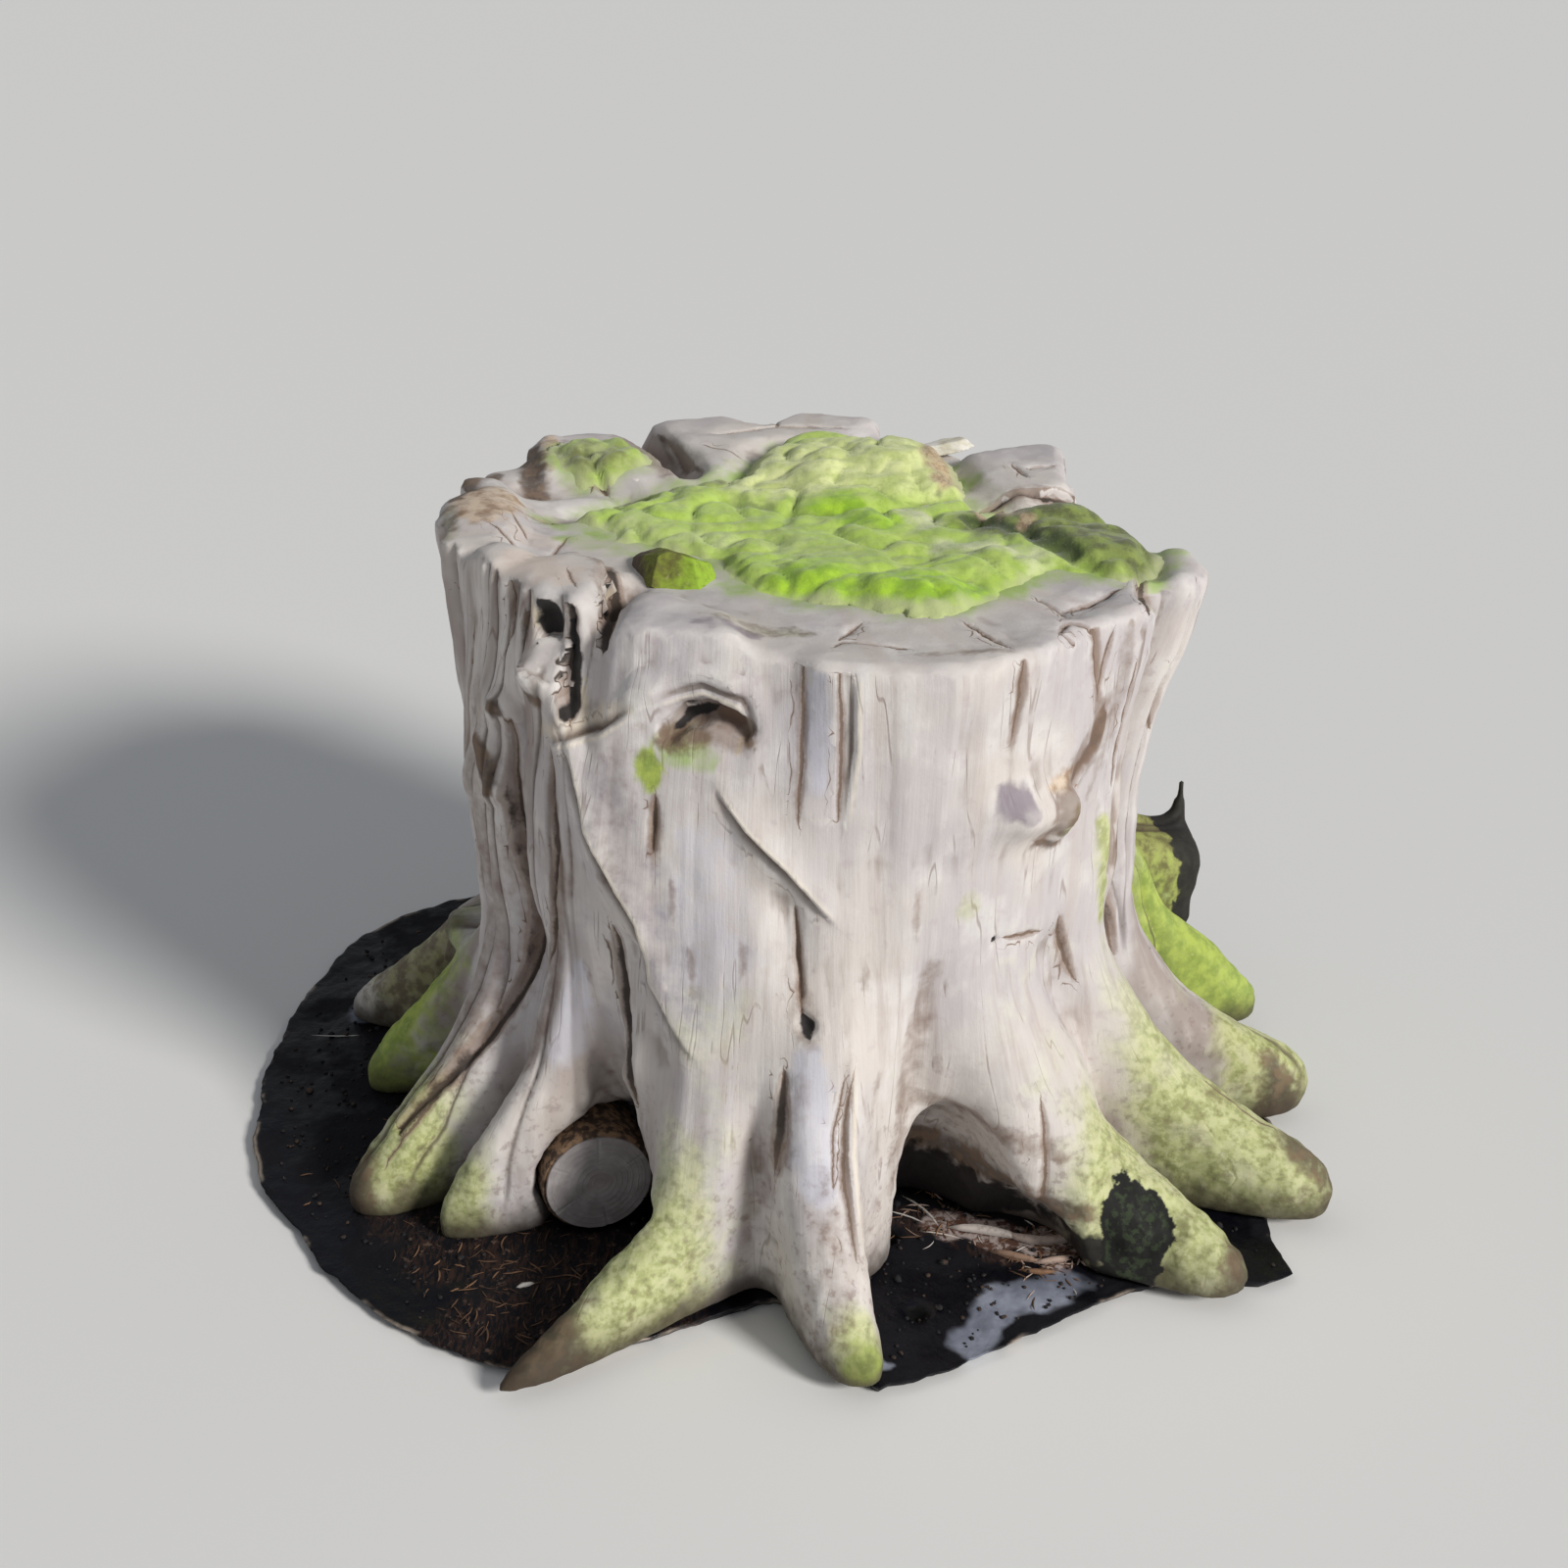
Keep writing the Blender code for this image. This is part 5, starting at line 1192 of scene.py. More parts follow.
def soil_height(x, y, share):
    flat = stacked(x, y)
    height = SOIL_TOP - 0.0010 + ripple(flat, 0.060, 74) * 0.0012 + ripple(flat, 0.018, 75) * 0.0007
    height = height + ripple(flat, 0.0070, 76) * 0.0005
    for path, radius in SOIL_PITS:
        height = height - SOIL_PIT_DEPTH * bump(path_distance(path, x, y)[0], radius * 1.2)
    height = np.minimum(height, SOIL_TOP)
    curl = 0.0030 * smoothstep(0.90, 0.985, share) * (0.5 + 0.5 * ripple(flat, 0.05, 77))
    height = height - 0.0058 * smoothstep(0.86, 0.96, share) + curl
    return np.maximum(height, SOIL_THINNEST)


def soil():
    """A thin ragged slab, its edge worn thin and lifted here and there."""
    azimuth = np.arange(SOIL_SECTORS) * 360.0 / SOIL_SECTORS - 180.0
    edge = soil_edge(azimuth)
    cos, sin = np.cos(np.radians(azimuth)), np.sin(np.radians(azimuth))
    shares = [*np.linspace(0.20, 0.88, SOIL_INNER_RINGS), *np.linspace(0.885, 1.0, SOIL_EDGE_RINGS)]
    rows = []
    for share in shares:
        x, y = edge * share * cos, edge * share * sin
        rows.append(stacked(x, y, soil_height(x, y, share)))
    under = rows[-1] * (0.998, 0.998, 1.0)
    under[:, 2] = np.maximum(under[:, 2] - 0.0016, 0.0)
    rows.append(under)
    rows += [stacked(edge * share * cos, edge * share * sin) for share in (0.985, 0.96, 0.2)]
    item = add_object("soil_slab", np.concatenate(rows), lofted_faces(len(rows), SOIL_SECTORS))
    tidy_mesh(item)
    store(item, "rim", smoothstep(0.990, 1.0, np.repeat([*shares, 1.0, 0.5, 0.5, 0.5], SOIL_SECTORS)))
    soil_masks(item)
    return item


def soil_masks(item):
    points = coordinates(item)
    x, y, _ = points.T
    wobble = ripple(points, 0.020, 78) * 0.008 + ripple(points, 0.008, 79) * 0.003
    store_all(item, flat_marks(SOIL_PATCHES, x, y, wobble, 0.3, 1.0))
    pits = {"pit": [(path, radius, 1.0) for path, radius in SOIL_PITS]}
    store_all(item, flat_marks(pits, x, y, wobble * 0.4, 0.7, 1.1))


def sliver(random, x, y, z, length, width, heading):
    """The vertices and faces of one thin, bent, pointed strip of wood or needle that lies flat."""
    steps = 5
    bend = random.uniform(-0.5, 0.5)
    thick = width * random.uniform(0.25, 0.5)
    vertices, faces = [], []
    for i in range(steps + 1):
        t = i / steps - 0.5
        angle = heading + bend * t
        taper = max(0.12, 1.0 - (2 * abs(t)) ** 3)
        cx, cy = x + math.cos(angle) * t * length, y + math.sin(angle) * t * length
        sx, sy = -math.sin(angle) * width * taper / 2, math.cos(angle) * width * taper / 2
        lift = z + random.uniform(0.0, 0.0006)
        vertices += [(cx - sx, cy - sy, lift), (cx + sx, cy + sy, lift), (cx, cy, lift + thick * taper)]
    faces.append((0, 1, 2))
    for i in range(steps):
        a = 3 * i
        for k in range(3):
            faces.append((a + k, a + 3 + k, a + 3 + (k + 1) % 3, a + (k + 1) % 3))
    faces.append((3 * steps, 3 * steps + 2, 3 * steps + 1))
    return vertices, faces


def litter(tree):
    """Needles, fibres and flakes of wood strewn on the soil, thickest near the front and under the arch."""
    random = np.random.default_rng(LITTER_SEED)
    vertices, faces, tint = [], [], []

    def lay(x, y, length, width, heading, shade):
        ground = height_below(tree, x, y, SOIL_LOOK_DOWN_FROM)
        if ground is None or ground > LITTER_HIGHEST:
            return
        made, sides = sliver(random, x, y, ground + 0.0001, length, width, heading)
        faces.extend(tuple(len(vertices) + v for v in side) for side in sides)
        vertices.extend(made)
        tint.extend([shade] * len(made))

    for (cx, cy), spread, count, palest in LITTER_SPOTS:
        for _ in range(count):
            x, y = random.normal(cx, spread * 0.55), random.normal(cy, spread * 0.55)
            if np.hypot(x, y) > soil_edge(np.array([math.degrees(math.atan2(y, x))]))[0] - 0.018:
                continue
            length, width = random.uniform(0.006, 0.020), random.uniform(0.0008, 0.0020)
            lay(x, y, length, width, random.uniform(0, math.pi), random.uniform() * palest)
    for x, y, length, width, heading, shade in LOOSE_BITS:
        lay(x, y, length, width, math.radians(heading), shade)
    item = add_object("soil_litter", vertices, faces)
    tidy_mesh(item)
    store(item, "tint", tint)
    return item


def crumbs(tree):
    """Small clods of soil strewn over the slab, which break up its surface."""
    random = np.random.default_rng(CRUMB_SEED)
    shape = bmesh.new()
    bmesh.ops.create_icosphere(shape, subdivisions=1, radius=1.0)
    unit = np.array([v.co for v in shape.verts])
    sides = [tuple(v.index for v in f.verts) for f in shape.faces]
    shape.free()
    vertices, faces = [], []
    for _ in range(CRUMB_COUNT):
        azimuth = random.uniform(-180, 180)
        radius = soil_edge(np.array([azimuth]))[0] * math.sqrt(random.uniform(0.2, 0.93))
        x, y = radius * math.cos(math.radians(azimuth)), radius * math.sin(math.radians(azimuth))
        ground = height_below(tree, x, y, SOIL_LOOK_DOWN_FROM)
        if ground is None or ground > CRUMB_HIGHEST:
            continue
        size = random.uniform(0.0008, 0.0024) * (1.0 if random.uniform() < 0.9 else 1.7)
        rough = unit * random.uniform(0.65, 1.2, (len(unit), 1)) * size * np.array([1.0, 1.0, 0.7])
        start = len(vertices)
        vertices += (rough + np.array([x, y, ground + size * 0.25])).tolist()
        faces += [tuple(start + v for v in side) for side in sides]
    return add_object("soil_crumbs", vertices, faces)


# Materials

class Value:
    """The output of a shader node. Sums, products and steps of it are further nodes."""

    def __init__(self, paint, socket):
        self.paint = paint
        self.socket = socket

    def __add__(self, other):
        return self.paint.number("ADD", self, other)

    def __sub__(self, other):
        return self.paint.number("SUBTRACT", self, other)

    def __mul__(self, other):
        return self.paint.number("MULTIPLY", self, other)

    def __abs__(self):
        return self.paint.number("ABSOLUTE", self)

    def step(self, low, high, start=0.0, end=1.0):
        """Goes softly from start to end while the value goes from low to high."""
        inputs = {0: self, 1: low, 2: high, 3: start, 4: end}
        return self.paint.add("ShaderNodeMapRange", inputs, interpolation_type="SMOOTHSTEP")

    def blend(self, low, high, first, second):
        """Goes softly from one colour to another while the value goes from low to high."""
        return self.paint.mix(self.step(low, high), first, second)

    def stirred(self, noise, amount):
        """The value, moved up and down by noise."""
        return self.paint.number("MULTIPLY_ADD", noise - 0.5, amount, self)

    def stretched(self, *scale):
        return self.paint.add("ShaderNodeVectorMath", {0: self, 1: scale}, operation="MULTIPLY")


class Paint:
    """One Principled material, built node by node. Its colour is laid on coat by coat."""

    def __init__(self, name):
        self.material = bpy.data.materials.new(name)
        self.material.use_nodes = True
        self.tree = self.material.node_tree
        self.shader = self.tree.nodes["Principled BSDF"]
        self.place = self.add("ShaderNodeTexCoord", output="Object")
        self.colour = None

    def feed(self, socket, value):
        if isinstance(value, Value):
            self.tree.links.new(value.socket, socket)
        elif socket.type == "RGBA":
            socket.default_value = (*value, 1.0)
        else:
            socket.default_value = value

    def add(self, kind, inputs=None, output=0, **settings):
        """Adds a node, feeds it and returns one of its outputs."""
        node = self.tree.nodes.new(kind)
        for key, value in settings.items():
            setattr(node, key, value)
        for key, value in (inputs or {}).items():
            self.feed(node.inputs[key], value)
        return Value(self, node.outputs[output])

    def mask(self, name):
        return self.add("ShaderNodeAttribute", output="Fac", attribute_name=name)

    def vector(self, name):
        return self.add("ShaderNodeAttribute", output="Vector", attribute_name=name)

    def noise(self, scale, detail=3.0, roughness=0.55, place=None, distortion=0.0):
        inputs = {"Vector": self.place if place is None else place, "Scale": scale, "Detail": detail,
                  "Roughness": roughness, "Distortion": distortion}
        return self.add("ShaderNodeTexNoise", inputs)

    def number(self, operation, *values):
        return self.add("ShaderNodeMath", dict(enumerate(values)), operation=operation)

    def mix(self, share, first, second):
        return self.add("ShaderNodeMix", {0: share, 6: first, 7: second}, output=2, data_type="RGBA")

    def ragged(self, name, noise, spread=0.7, low=0.42, high=0.62):
        """A painted mask with its edge broken up by noise."""
        return self.mask(name).stirred(noise, spread).step(low, high)

    def cover(self, where, tone, share=1.0):
        """Lays one more tone over the colour so far."""
        self.colour = self.mix(where * share, self.colour, tone)

    def lay_tone(self, name, noise, tone, share=1.0, spread=0.7, low=0.22, high=0.85):
        """Lays a tone softly over a painted mask, mottled by noise."""
        self.cover(self.ragged(name, noise, spread, low, high), tone, share)

    def finish(self, roughness, height=None, strength=0.5, distance=0.001):
        self.feed(self.shader.inputs["Base Color"], self.colour)
        self.feed(self.shader.inputs["Roughness"], roughness)
        if height is not None:
            inputs = {"Height": height, "Strength": strength, "Distance": distance}
            self.feed(self.shader.inputs["Normal"], self.add("ShaderNodeBump", inputs))
        return self.material


def weathered_wood(paint, side, broad, patch, spots, streak, wide, fibre):
    """The bare wood: pale grey and cream patches, with brown veins along the grain."""
    paint.colour = broad.blend(0.36, 0.64, (0.56, 0.525, 0.535), (0.67, 0.62, 0.58))
    paint.cover(patch.step(0.46, 0.70), (0.77, 0.745, 0.725), 0.65)
    paint.cover(wide.step(0.52, 0.74), (0.56, 0.47, 0.42), 0.42)
    paint.cover(wide.step(0.44, 0.64) * paint.mask("folded"), (0.24, 0.18, 0.15), 0.66)
    paint.cover(streak.step(0.54, 0.72) * side, (0.40, 0.31, 0.28), 0.34)
    paint.cover(spots.step(0.58, 0.72), (0.46, 0.36, 0.40), 0.24)
    paint.cover(fibre.step(0.38, 0.72) * side, (0.44, 0.36, 0.33), 0.12)


def pale_stains_and_shade(paint, patch, spots):
    paint.lay_tone("cool", spots, (0.62, 0.62, 0.70), 0.75, 0.5)
    paint.lay_tone("pale", spots, (0.84, 0.80, 0.77), 0.85, 0.5)
    paint.lay_tone("cream", spots, (0.76, 0.66, 0.50), 0.75, 0.5)
    paint.lay_tone("peach", patch, (0.76, 0.62, 0.52), 0.6, 0.8)
    paint.lay_tone("tan", spots, spots.blend(0.38, 0.66, (0.72, 0.57, 0.42), (0.36, 0.23, 0.14)), 0.9, 0.8)
    # Violet: painted shade and a painted cast shadow, with some violet-grey stain
    paint.lay_tone("violet", spots, (0.26, 0.22, 0.26), 0.85, 0.5)
    paint.cover(paint.mask("dent").step(-0.20, -0.90), (0.82, 0.78, 0.74), 0.30)


def green_and_brown_stains_and_shade(paint, patch, spots, speck, foot):
    algae = spots.blend(0.36, 0.64, (0.50, 0.55, 0.19), (0.33, 0.38, 0.09))
    algae = paint.mix(speck.step(0.54, 0.40) * 0.50, algae, (0.66, 0.68, 0.34))
    algae = paint.mix(patch.step(0.48, 0.72) * 0.40, algae, (0.60, 0.55, 0.44))
    paint.lay_tone("algae", patch, algae, 0.82, 1.05, 0.20, 0.80)
    low = foot.step(0.20, 0.08)
    paint.cover(spots.step(0.52, 0.72) * low, (0.22, 0.15, 0.12), 0.18)
    paint.cover(speck.step(0.56, 0.66) * low, (0.17, 0.11, 0.10), 0.28)
    green = spots.blend(0.36, 0.64, (0.42, 0.53, 0.07), (0.25, 0.35, 0.04))
    green = paint.mix(speck.step(0.60, 0.72) * 0.5, green, (0.56, 0.60, 0.20))
    paint.lay_tone("vivid", patch, green, 0.92, 1.1, 0.15, 0.85)
    film = patch.blend(0.38, 0.64, (0.52, 0.60, 0.30), (0.34, 0.50, 0.09))
    paint.lay_tone("moss", patch, film, 0.85, 1.0, 0.30, 0.95)
    paint.lay_tone("olive", spots, spots.blend(0.40, 0.60, (0.30, 0.30, 0.10), (0.14, 0.11, 0.05)), 0.8, 0.9)
    paint.lay_tone("rust", spots, (0.42, 0.15, 0.05), 0.8, 0.4)
    # Earth brown, which is also painted shade at the mouth of the arch
    earth = spots.blend(0.40, 0.60, (0.065, 0.040, 0.027), (0.19, 0.125, 0.080))
    paint.lay_tone("earth", spots, earth, 0.90, 0.9)
    # Brown: stains, and painted shade along the arch and down a valley at the front
    paint.lay_tone("brown", spots, (0.20, 0.125, 0.085), 0.62, 0.9)
    # Darker towards the ground, from about 5 cm down
    paint.cover(foot.stirred(patch, 0.05).step(0.052, 0.014), (0.050, 0.034, 0.022), 0.88)


def painted_hollow_shade(paint, spots):
    # Painted shade: brown where the wood sees little sky, nearly black in deep crevices, and brown in concave
    # dents
    shade = paint.mask("open").stirred(spots, 0.10)
    paint.cover(shade.step(0.88, 0.54), (0.24, 0.175, 0.135), 0.55)
    paint.cover(shade.step(0.52, 0.26), (0.035, 0.022, 0.016), 0.88)
    paint.cover(paint.mask("dent").step(0.25, 1.0), (0.17, 0.11, 0.08), 0.50)


def crack_strokes(paint, bend):
    """Draws the stored cracks: a wide brown one and a dark one within it, darker where the crack is wide."""
    depth = paint.mask("crack_width").step(0.0014, 0.0040)
    dark = paint.mix(depth, (0.175, 0.115, 0.080), (0.020, 0.013, 0.010))
    for widen, tone, share in ((3.0, (0.27, 0.18, 0.13), 0.50), (1.1, dark, 0.86)):
        distance = abs(paint.mask("crack_side") + bend)
        width = paint.number("MAXIMUM", paint.mask("crack_width") * widen, 0.00005)
        paint.cover(paint.number("DIVIDE", distance, width).step(1.0, 0.45), tone, share)


def lip_highlight_and_shadow(paint, bend):
    """Paints light and shade along the stored edges of the sheets: a painted highlight on the edge and a
    painted shadow under it.
    """
    edge = paint.mask("lip_side") + bend * 0.5
    strength = paint.mask("lip_share")
    # Painted highlight along the edge of each sheet
    painted_highlight = edge.step(0.0008, 0.0024) * edge.step(0.0064, 0.0030) * strength
    paint.cover(painted_highlight, (0.80, 0.73, 0.62), 0.75)
    # Painted shadow under the edge of each sheet
    under = edge.step(0.0004, -0.0010) * edge.step(-0.0090, -0.0020) * strength
    paint.cover(under, (0.12, 0.078, 0.056), 0.75)


def shaded_rotten_hollow(paint, spots, speck):
    ragged_hollow = paint.mask("hollow").stirred(spots, 0.8)
    # Painted shade: the hollow is painted black inside, with green specks near its rim
    paint.cover(ragged_hollow.step(0.42, 0.52), (0.008, 0.008, 0.007))
    paint.cover(ragged_hollow.step(0.62, 0.80) * speck.step(0.46, 0.62), (0.045, 0.065, 0.030), 0.8)


def wood_material():
    paint = Paint("weathered_wood")
    grain = paint.vector("grain")
    broad = paint.noise(6.0)
    patch = paint.noise(26.0, 4.0)
    spots = paint.noise(75.0, 3.0, 0.6)
    speck = paint.noise(150.0, 3.0, 0.6)
    dust = paint.noise(420.0, 2.0, 0.6)
    wide = paint.noise(34.0, 3.0, 0.5, grain.stretched(1.0, 1.0, 0.13))
    streak = paint.noise(90.0, 4.0, 0.6, grain.stretched(1.0, 1.0, 0.09))
    fibre = paint.noise(420.0, 3.0, 0.6, grain.stretched(1.0, 1.0, 0.05))
    hair = paint.noise(46.0, 2.0, 0.5, grain.stretched(1.0, 1.0, 0.10))
    side = paint.number("SUBTRACT", 1.0, paint.mask("top"))
    foot = paint.add("ShaderNodeSeparateXYZ", {0: paint.place}, output=2)

    weathered_wood(paint, side, broad, patch, spots, streak, wide, fibre)
    split = abs(hair - 0.5).step(0.012, 0.002) * patch.step(0.48, 0.60) * side
    paint.cover(split, (0.20, 0.12, 0.09), 0.50)
    pale_stains_and_shade(paint, patch, spots)
    green_and_brown_stains_and_shade(paint, patch, spots, speck, foot)
    painted_hollow_shade(paint, spots)
    bend = (spots - 0.5) * 0.0030 + (dust - 0.5) * 0.0016
    # Painted shade: dark lines along the creases between the folds
    crease = abs(paint.number("MULTIPLY_ADD", bend, 6.0, paint.mask("fold")))
    paint.cover(crease.step(0.085, 0.010) * paint.mask("folded"), (0.085, 0.055, 0.040), 0.72)
    crack_strokes(paint, bend)
    lip_highlight_and_shadow(paint, bend)
    # Black on the broken root ends, and painted shade in the holes, the cleft, the pits and the arch
    paint.lay_tone("char", spots, (0.012, 0.010, 0.010), 0.97, 0.6, 0.35, 0.70)
    shaded_rotten_hollow(paint, spots, speck)

    relief = paint.number("MULTIPLY_ADD", fibre, side, dust * 0.5)
    relief = paint.number("MULTIPLY_ADD", streak, side, relief) - split * 0.8
    return paint.finish(spots.step(0.3, 0.7, 0.70, 0.88), relief, 0.42, 0.0008)


def moss_material(name, light, dark):
    paint = Paint(name)
    broad, clump = paint.noise(18.0), paint.noise(60.0)
    tuft, fuzz = paint.noise(210.0, 3.0, 0.65), paint.noise(700.0, 2.0, 0.6)
    paint.colour = clump.blend(0.36, 0.64, dark, light)
    paint.cover(broad.step(0.42, 0.62), (0.50, 0.72, 0.10), 0.6)
    tones = [
        ("mint", clump.blend(0.40, 0.64, (0.52, 0.62, 0.26), (0.66, 0.68, 0.44)), 0.85),
        ("vivid", clump.blend(0.38, 0.62, (0.27, 0.48, 0.015), (0.42, 0.68, 0.03)), 1.0),
        ("pale", clump.blend(0.38, 0.62, (0.58, 0.66, 0.24), (0.78, 0.84, 0.38)), 1.0),
        ("olive", clump.blend(0.40, 0.60, (0.085, 0.095, 0.028), (0.22, 0.28, 0.06)), 0.95),
        # Painted shade along the creases of the moss
        ("deep", (0.035, 0.06, 0.012), 0.9),
        ("tan", tuft.blend(0.42, 0.60, (0.60, 0.44, 0.30), (0.36, 0.23, 0.14)), 0.9),
    ]
    for mask, tone, share in tones:
        paint.lay_tone(mask, broad, tone, share, 0.9, 0.25, 0.85)
    paint.cover(tuft.step(0.50, 0.36), (0.16, 0.23, 0.04), 0.16)
    paint.cover(fuzz.step(0.55, 0.75), (0.70, 0.78, 0.34), 0.16)
    # Painted shade in the dips between the billows of the moss
    paint.cover(paint.mask("raised").step(-0.25, -1.0), (0.16, 0.22, 0.04), 0.40)
    paint.cover(paint.mask("edge").stirred(clump, 0.8).step(0.70, 0.10), (0.54, 0.58, 0.30), 0.80)
    paint.shader.inputs["Sheen Weight"].default_value = 0.25
    paint.shader.inputs["Sheen Roughness"].default_value = 0.6
    return paint.finish(0.92, fuzz * 0.5 + tuft, 0.5, 0.0008)


def chip_material():
    paint = Paint("mossy_wood")
    spots = paint.noise(70.0, 4.0, 0.6)
    speck = paint.noise(170.0, 3.0, 0.6)
    fibre = paint.noise(300.0, 3.0, 0.6, paint.vector("fibres").stretched(1.0, 0.12, 1.0))
    along = paint.mask("along").stirred(spots, 0.5)
    moss = spots.blend(0.38, 0.62, (0.15, 0.15, 0.035), (0.25, 0.30, 0.040))
    paint.colour = along.blend(0.14, 0.42, (0.13, 0.095, 0.075), moss)
    paint.cover(along.step(0.62, 0.92), (0.32, 0.50, 0.040))
    paint.cover(along.step(1.00, 1.08), (0.80, 0.80, 0.50), 0.9)
    paint.cover(fibre.step(0.5, 0.72), (0.10, 0.085, 0.035), 0.40)
    paint.cover(speck.step(0.62, 0.74), (0.46, 0.45, 0.22), 0.5)
    return paint.finish(0.85, fibre, 0.6, 0.001)


def splinter_material():
    paint = Paint("splinter_wood")
    fibre = paint.noise(320.0, 3.0, 0.6, paint.vector("fibres").stretched(1.0, 0.10, 1.0))
    paint.colour = paint.noise(60.0).blend(0.40, 0.62, (0.84, 0.82, 0.76), (0.66, 0.62, 0.48))
    paint.cover(fibre.step(0.52, 0.74), (0.36, 0.28, 0.20), 0.45)
    return paint.finish(0.8, fibre, 0.6, 0.0008)


def round_material():
    paint = Paint("root_wood")
    share = paint.mask("share")
    patch = paint.noise(2.2, 4.0, 0.6, paint.vector("face"))
    speck = paint.noise(160.0, 3.0, 0.6)
    ring = paint.number("PINGPONG", patch * 0.12 + share, 0.055).step(0.030, 0.055)
    paint.colour = patch.blend(0.38, 0.64, (0.33, 0.30, 0.30), (0.44, 0.41, 0.41))
    paint.cover(ring, (0.36, 0.28, 0.28), 0.14)
    paint.cover((patch * 0.5 + share).step(0.62, 0.30), (0.38, 0.27, 0.26), 0.30)
    paint.cover(speck.step(0.58, 0.72), (0.36, 0.27, 0.33), 0.30)
    bark = speck.blend(0.42, 0.60, (0.055, 0.032, 0.020), (0.26, 0.16, 0.09))
    paint.cover(share.step(0.975, 1.03), bark)
    return paint.finish(0.82, speck + ring * 0.6, 0.5, 0.0008)


def soil_material():
    paint = Paint("dark_soil")
    patch = paint.noise(13.0, 4.0, 0.6)
    clod = paint.noise(48.0, 3.0, 0.6)
    speck = paint.noise(130.0, 4.0, 0.65)
    fibre = paint.noise(210.0, 3.0, 0.7, paint.place.stretched(1.0, 0.25, 1.0), 1.5)
    paint.colour = patch.blend(0.40, 0.66, (0.0040, 0.0042, 0.0070), (0.0080, 0.0078, 0.0110))
    paint.cover(speck.step(0.60, 0.76), (0.030, 0.020, 0.015), 0.35)
    paint.shader.inputs["Specular IOR Level"].default_value = 0.22
    brown = paint.ragged("litter", clod, 0.9, 0.30, 0.90)
    paint.cover(brown * fibre.step(0.44, 0.62), (0.065, 0.033, 0.022), 0.55)
    paint.cover(brown * speck.step(0.60, 0.68), (0.17, 0.11, 0.08), 0.60)
    mush = speck.blend(0.42, 0.58, (0.13, 0.065, 0.045), (0.50, 0.42, 0.40))
    paint.lay_tone("chaff", clod, mush, 0.85, 0.9, 0.30, 0.75)
    # Painted reflection of the sky on smooth patches of soil
    reflection_tone = patch.blend(0.40, 0.62, (0.15, 0.165, 0.21), (0.34, 0.37, 0.45))
    paint.lay_tone("sky_reflection", patch, reflection_tone, 1.0, 0.9, 0.25, 0.95)
    # Painted shade: the pits are painted black inside
    paint.cover(paint.ragged("pit", speck, 0.4), (0.001, 0.001, 0.001), 0.97)
    paint.cover(paint.mask("rim") * paint.noise(22.0).step(0.50, 0.62), (0.48, 0.40, 0.33), 0.9)
    rough = paint.number("MAXIMUM", patch.step(0.42, 0.58, 0.30, 0.80), brown * 0.85)
    rough = paint.number("MAXIMUM", rough, paint.mask("pit"))
    return paint.finish(rough, clod * 1.4 + speck, 0.6, 0.0014)


def litter_material():
    paint = Paint("litter")
    tint = paint.mask("tint")
    speck = paint.noise(260.0)
    paint.colour = tint.blend(0.0, 0.6, (0.055, 0.028, 0.017), (0.24, 0.13, 0.07))
    paint.cover(tint.step(0.65, 0.80), (0.52, 0.40, 0.34))
    paint.cover(tint.step(0.85, 1.0), (0.74, 0.70, 0.66))
    paint.cover(speck.step(0.50, 0.70), (0.08, 0.045, 0.03), 0.4)
    return paint.finish(0.8, speck, 0.4, 0.0005)


def crumb_material():
    paint = Paint("soil_crumb")
    speck = paint.noise(150.0, 2.0)
    paint.colour = speck.blend(0.50, 0.66, (0.010, 0.010, 0.013), (0.060, 0.036, 0.024))
    return paint.finish(0.9, speck, 0.4, 0.0005)


# Floor, light and camera

def aim(item, direction, axis):
    """Turns an object so that one of its own axes points in a direction."""
    item.rotation_mode = "QUATERNION"
    item.rotation_quaternion = Vector(direction).to_track_quat(axis, "Y")


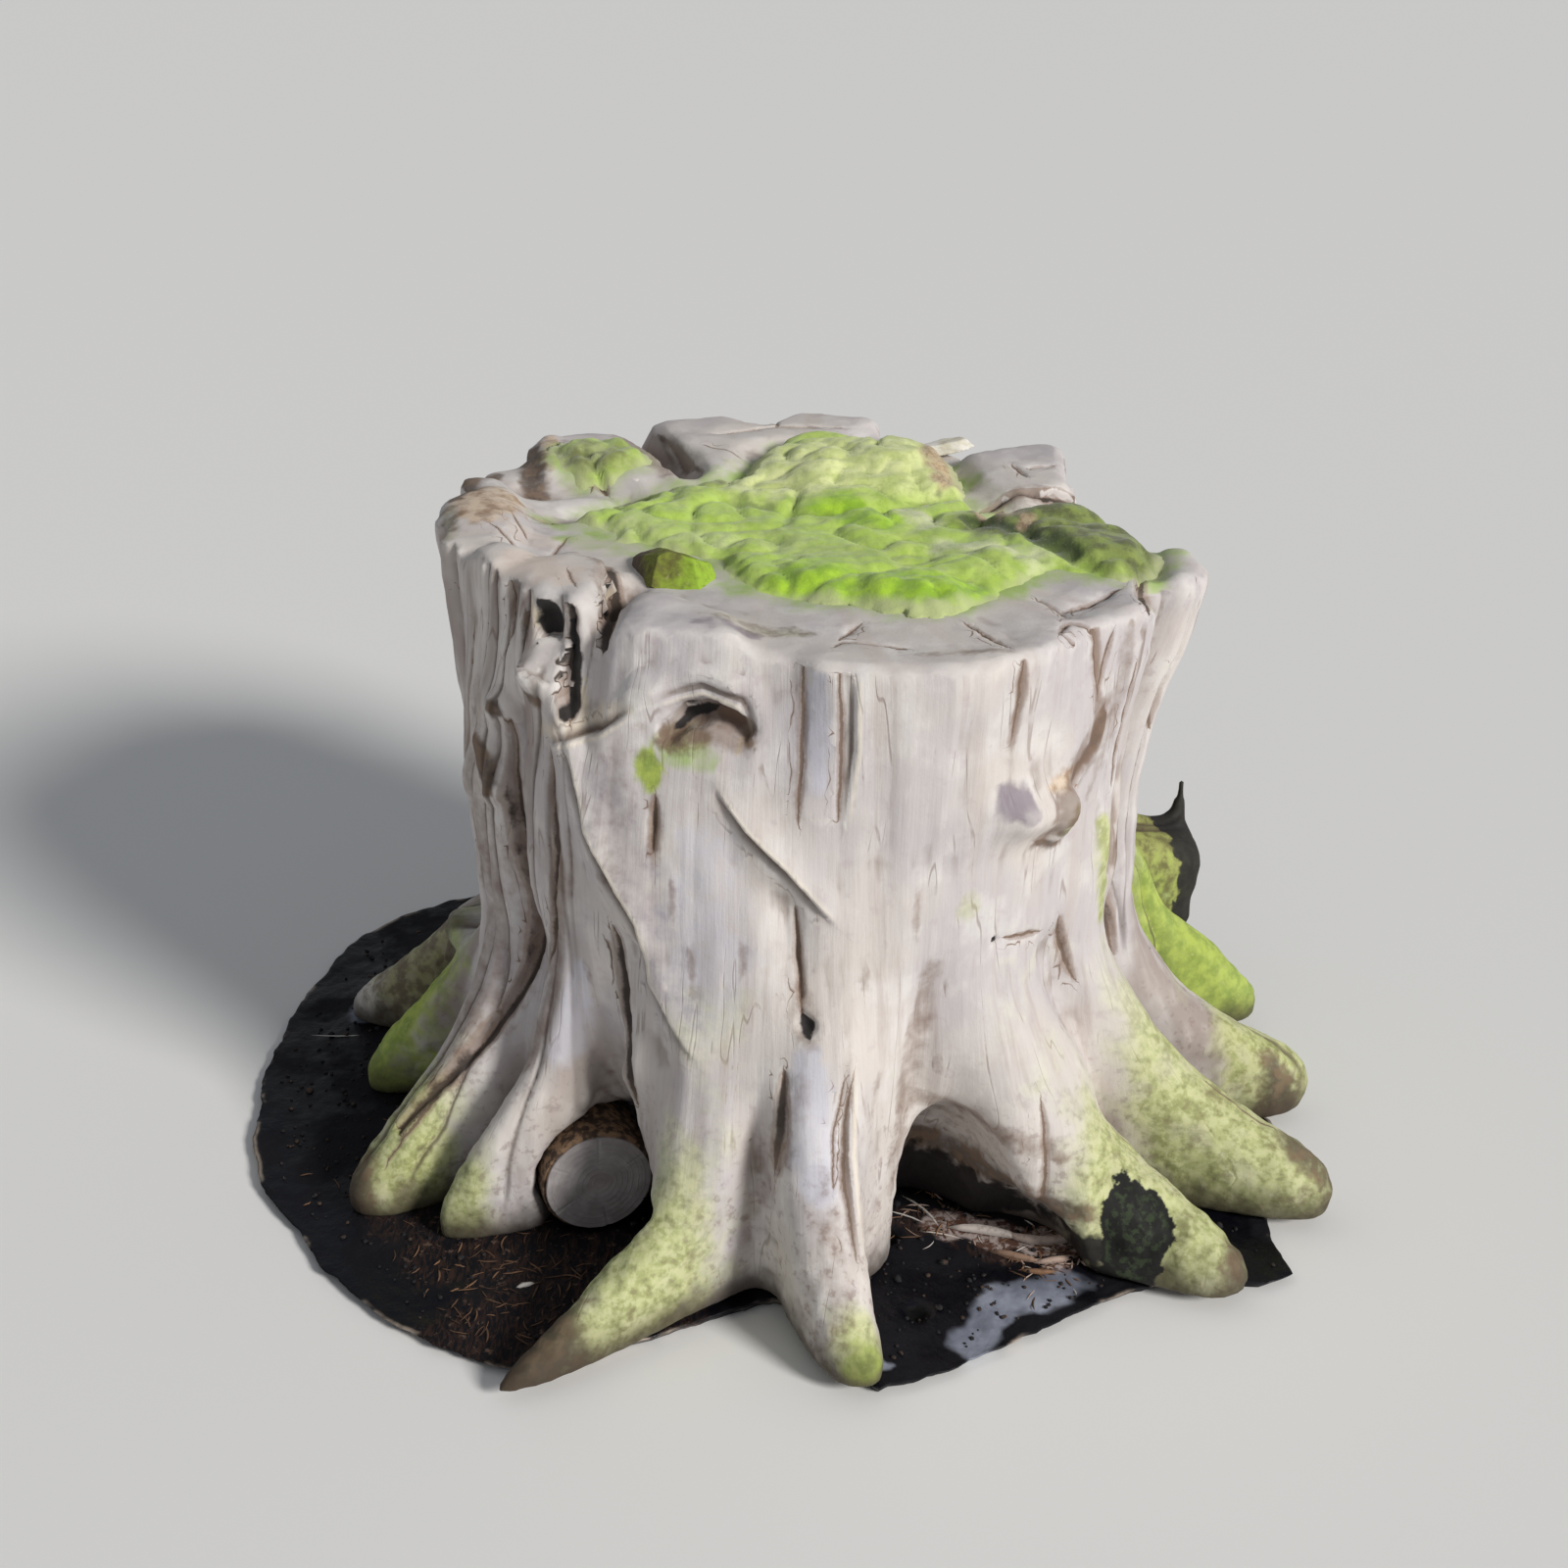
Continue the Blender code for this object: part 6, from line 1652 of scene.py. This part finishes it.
def studio():
    corners = [(-FLOOR_REACH, -FLOOR_REACH), (FLOOR_REACH, -FLOOR_REACH),
               (FLOOR_REACH, FLOOR_REACH), (-FLOOR_REACH, FLOOR_REACH)]
    floor = add_object("floor", [(x, y, 0.0) for x, y in corners], [(0, 1, 2, 3)])
    paint = Paint("floor_paint")
    paint.colour = FLOOR_COLOUR
    floor.data.materials.append(paint.finish(0.9))
    floor.location.z = -FLOOR_DROP
    world = bpy.data.worlds.new("studio")
    bpy.context.scene.world = world
    world.use_nodes = True
    backdrop = world.node_tree.nodes["Background"]
    backdrop.inputs[0].default_value = SKY_COLOUR
    backdrop.inputs[1].default_value = SKY_STRENGTH
    sun = bpy.data.lights.new("sun", "SUN")
    sun.angle = math.radians(SUN_SOFTNESS)
    sun.energy = SUN_STRENGTH
    sun.color = SUN_COLOUR
    aim(placed("sun", sun), SUN_DIRECTION, "Z")
    bpy.context.scene.view_settings.view_transform = "Standard"


def camera():
    lens = bpy.data.cameras.new("camera")
    lens.lens = CAMERA_LENS
    lens.sensor_width = CAMERA_SENSOR
    item = placed("camera", lens)
    item.location = CAMERA_PLACE
    aim(item, Vector(CAMERA_TARGET) - Vector(CAMERA_PLACE), "-Z")
    bpy.context.scene.camera = item


def main():
    stump = wood()
    surface = search_tree(stump)
    cushion = moss_sheet("moss_carpet", CUSHION_OUTLINE, CUSHION_LUMPS, surface, 101)
    left = moss_sheet("moss_left_carpet", LEFT_MOSS_OUTLINE, LEFT_MOSS_LUMPS, surface, 111)
    slab = soil()
    ground = search_tree(slab)
    dress(stump, "stump", wood_material())
    dress(cushion, "moss_cushion", moss_material("moss", MOSS_LIGHT, MOSS_DARK))
    dress(left, "moss_left", moss_material("olive_moss", LEFT_MOSS_LIGHT, LEFT_MOSS_DARK))
    dress(chip(), "mossy_chip", chip_material())
    dress(splinter(), "splinter", splinter_material())
    dress(sawn_round(), "sawn_root", round_material())
    dress(slab, "soil", soil_material())
    dress(litter(ground), None, litter_material())
    dress(crumbs(ground), None, crumb_material())
    studio()
    camera()


main()
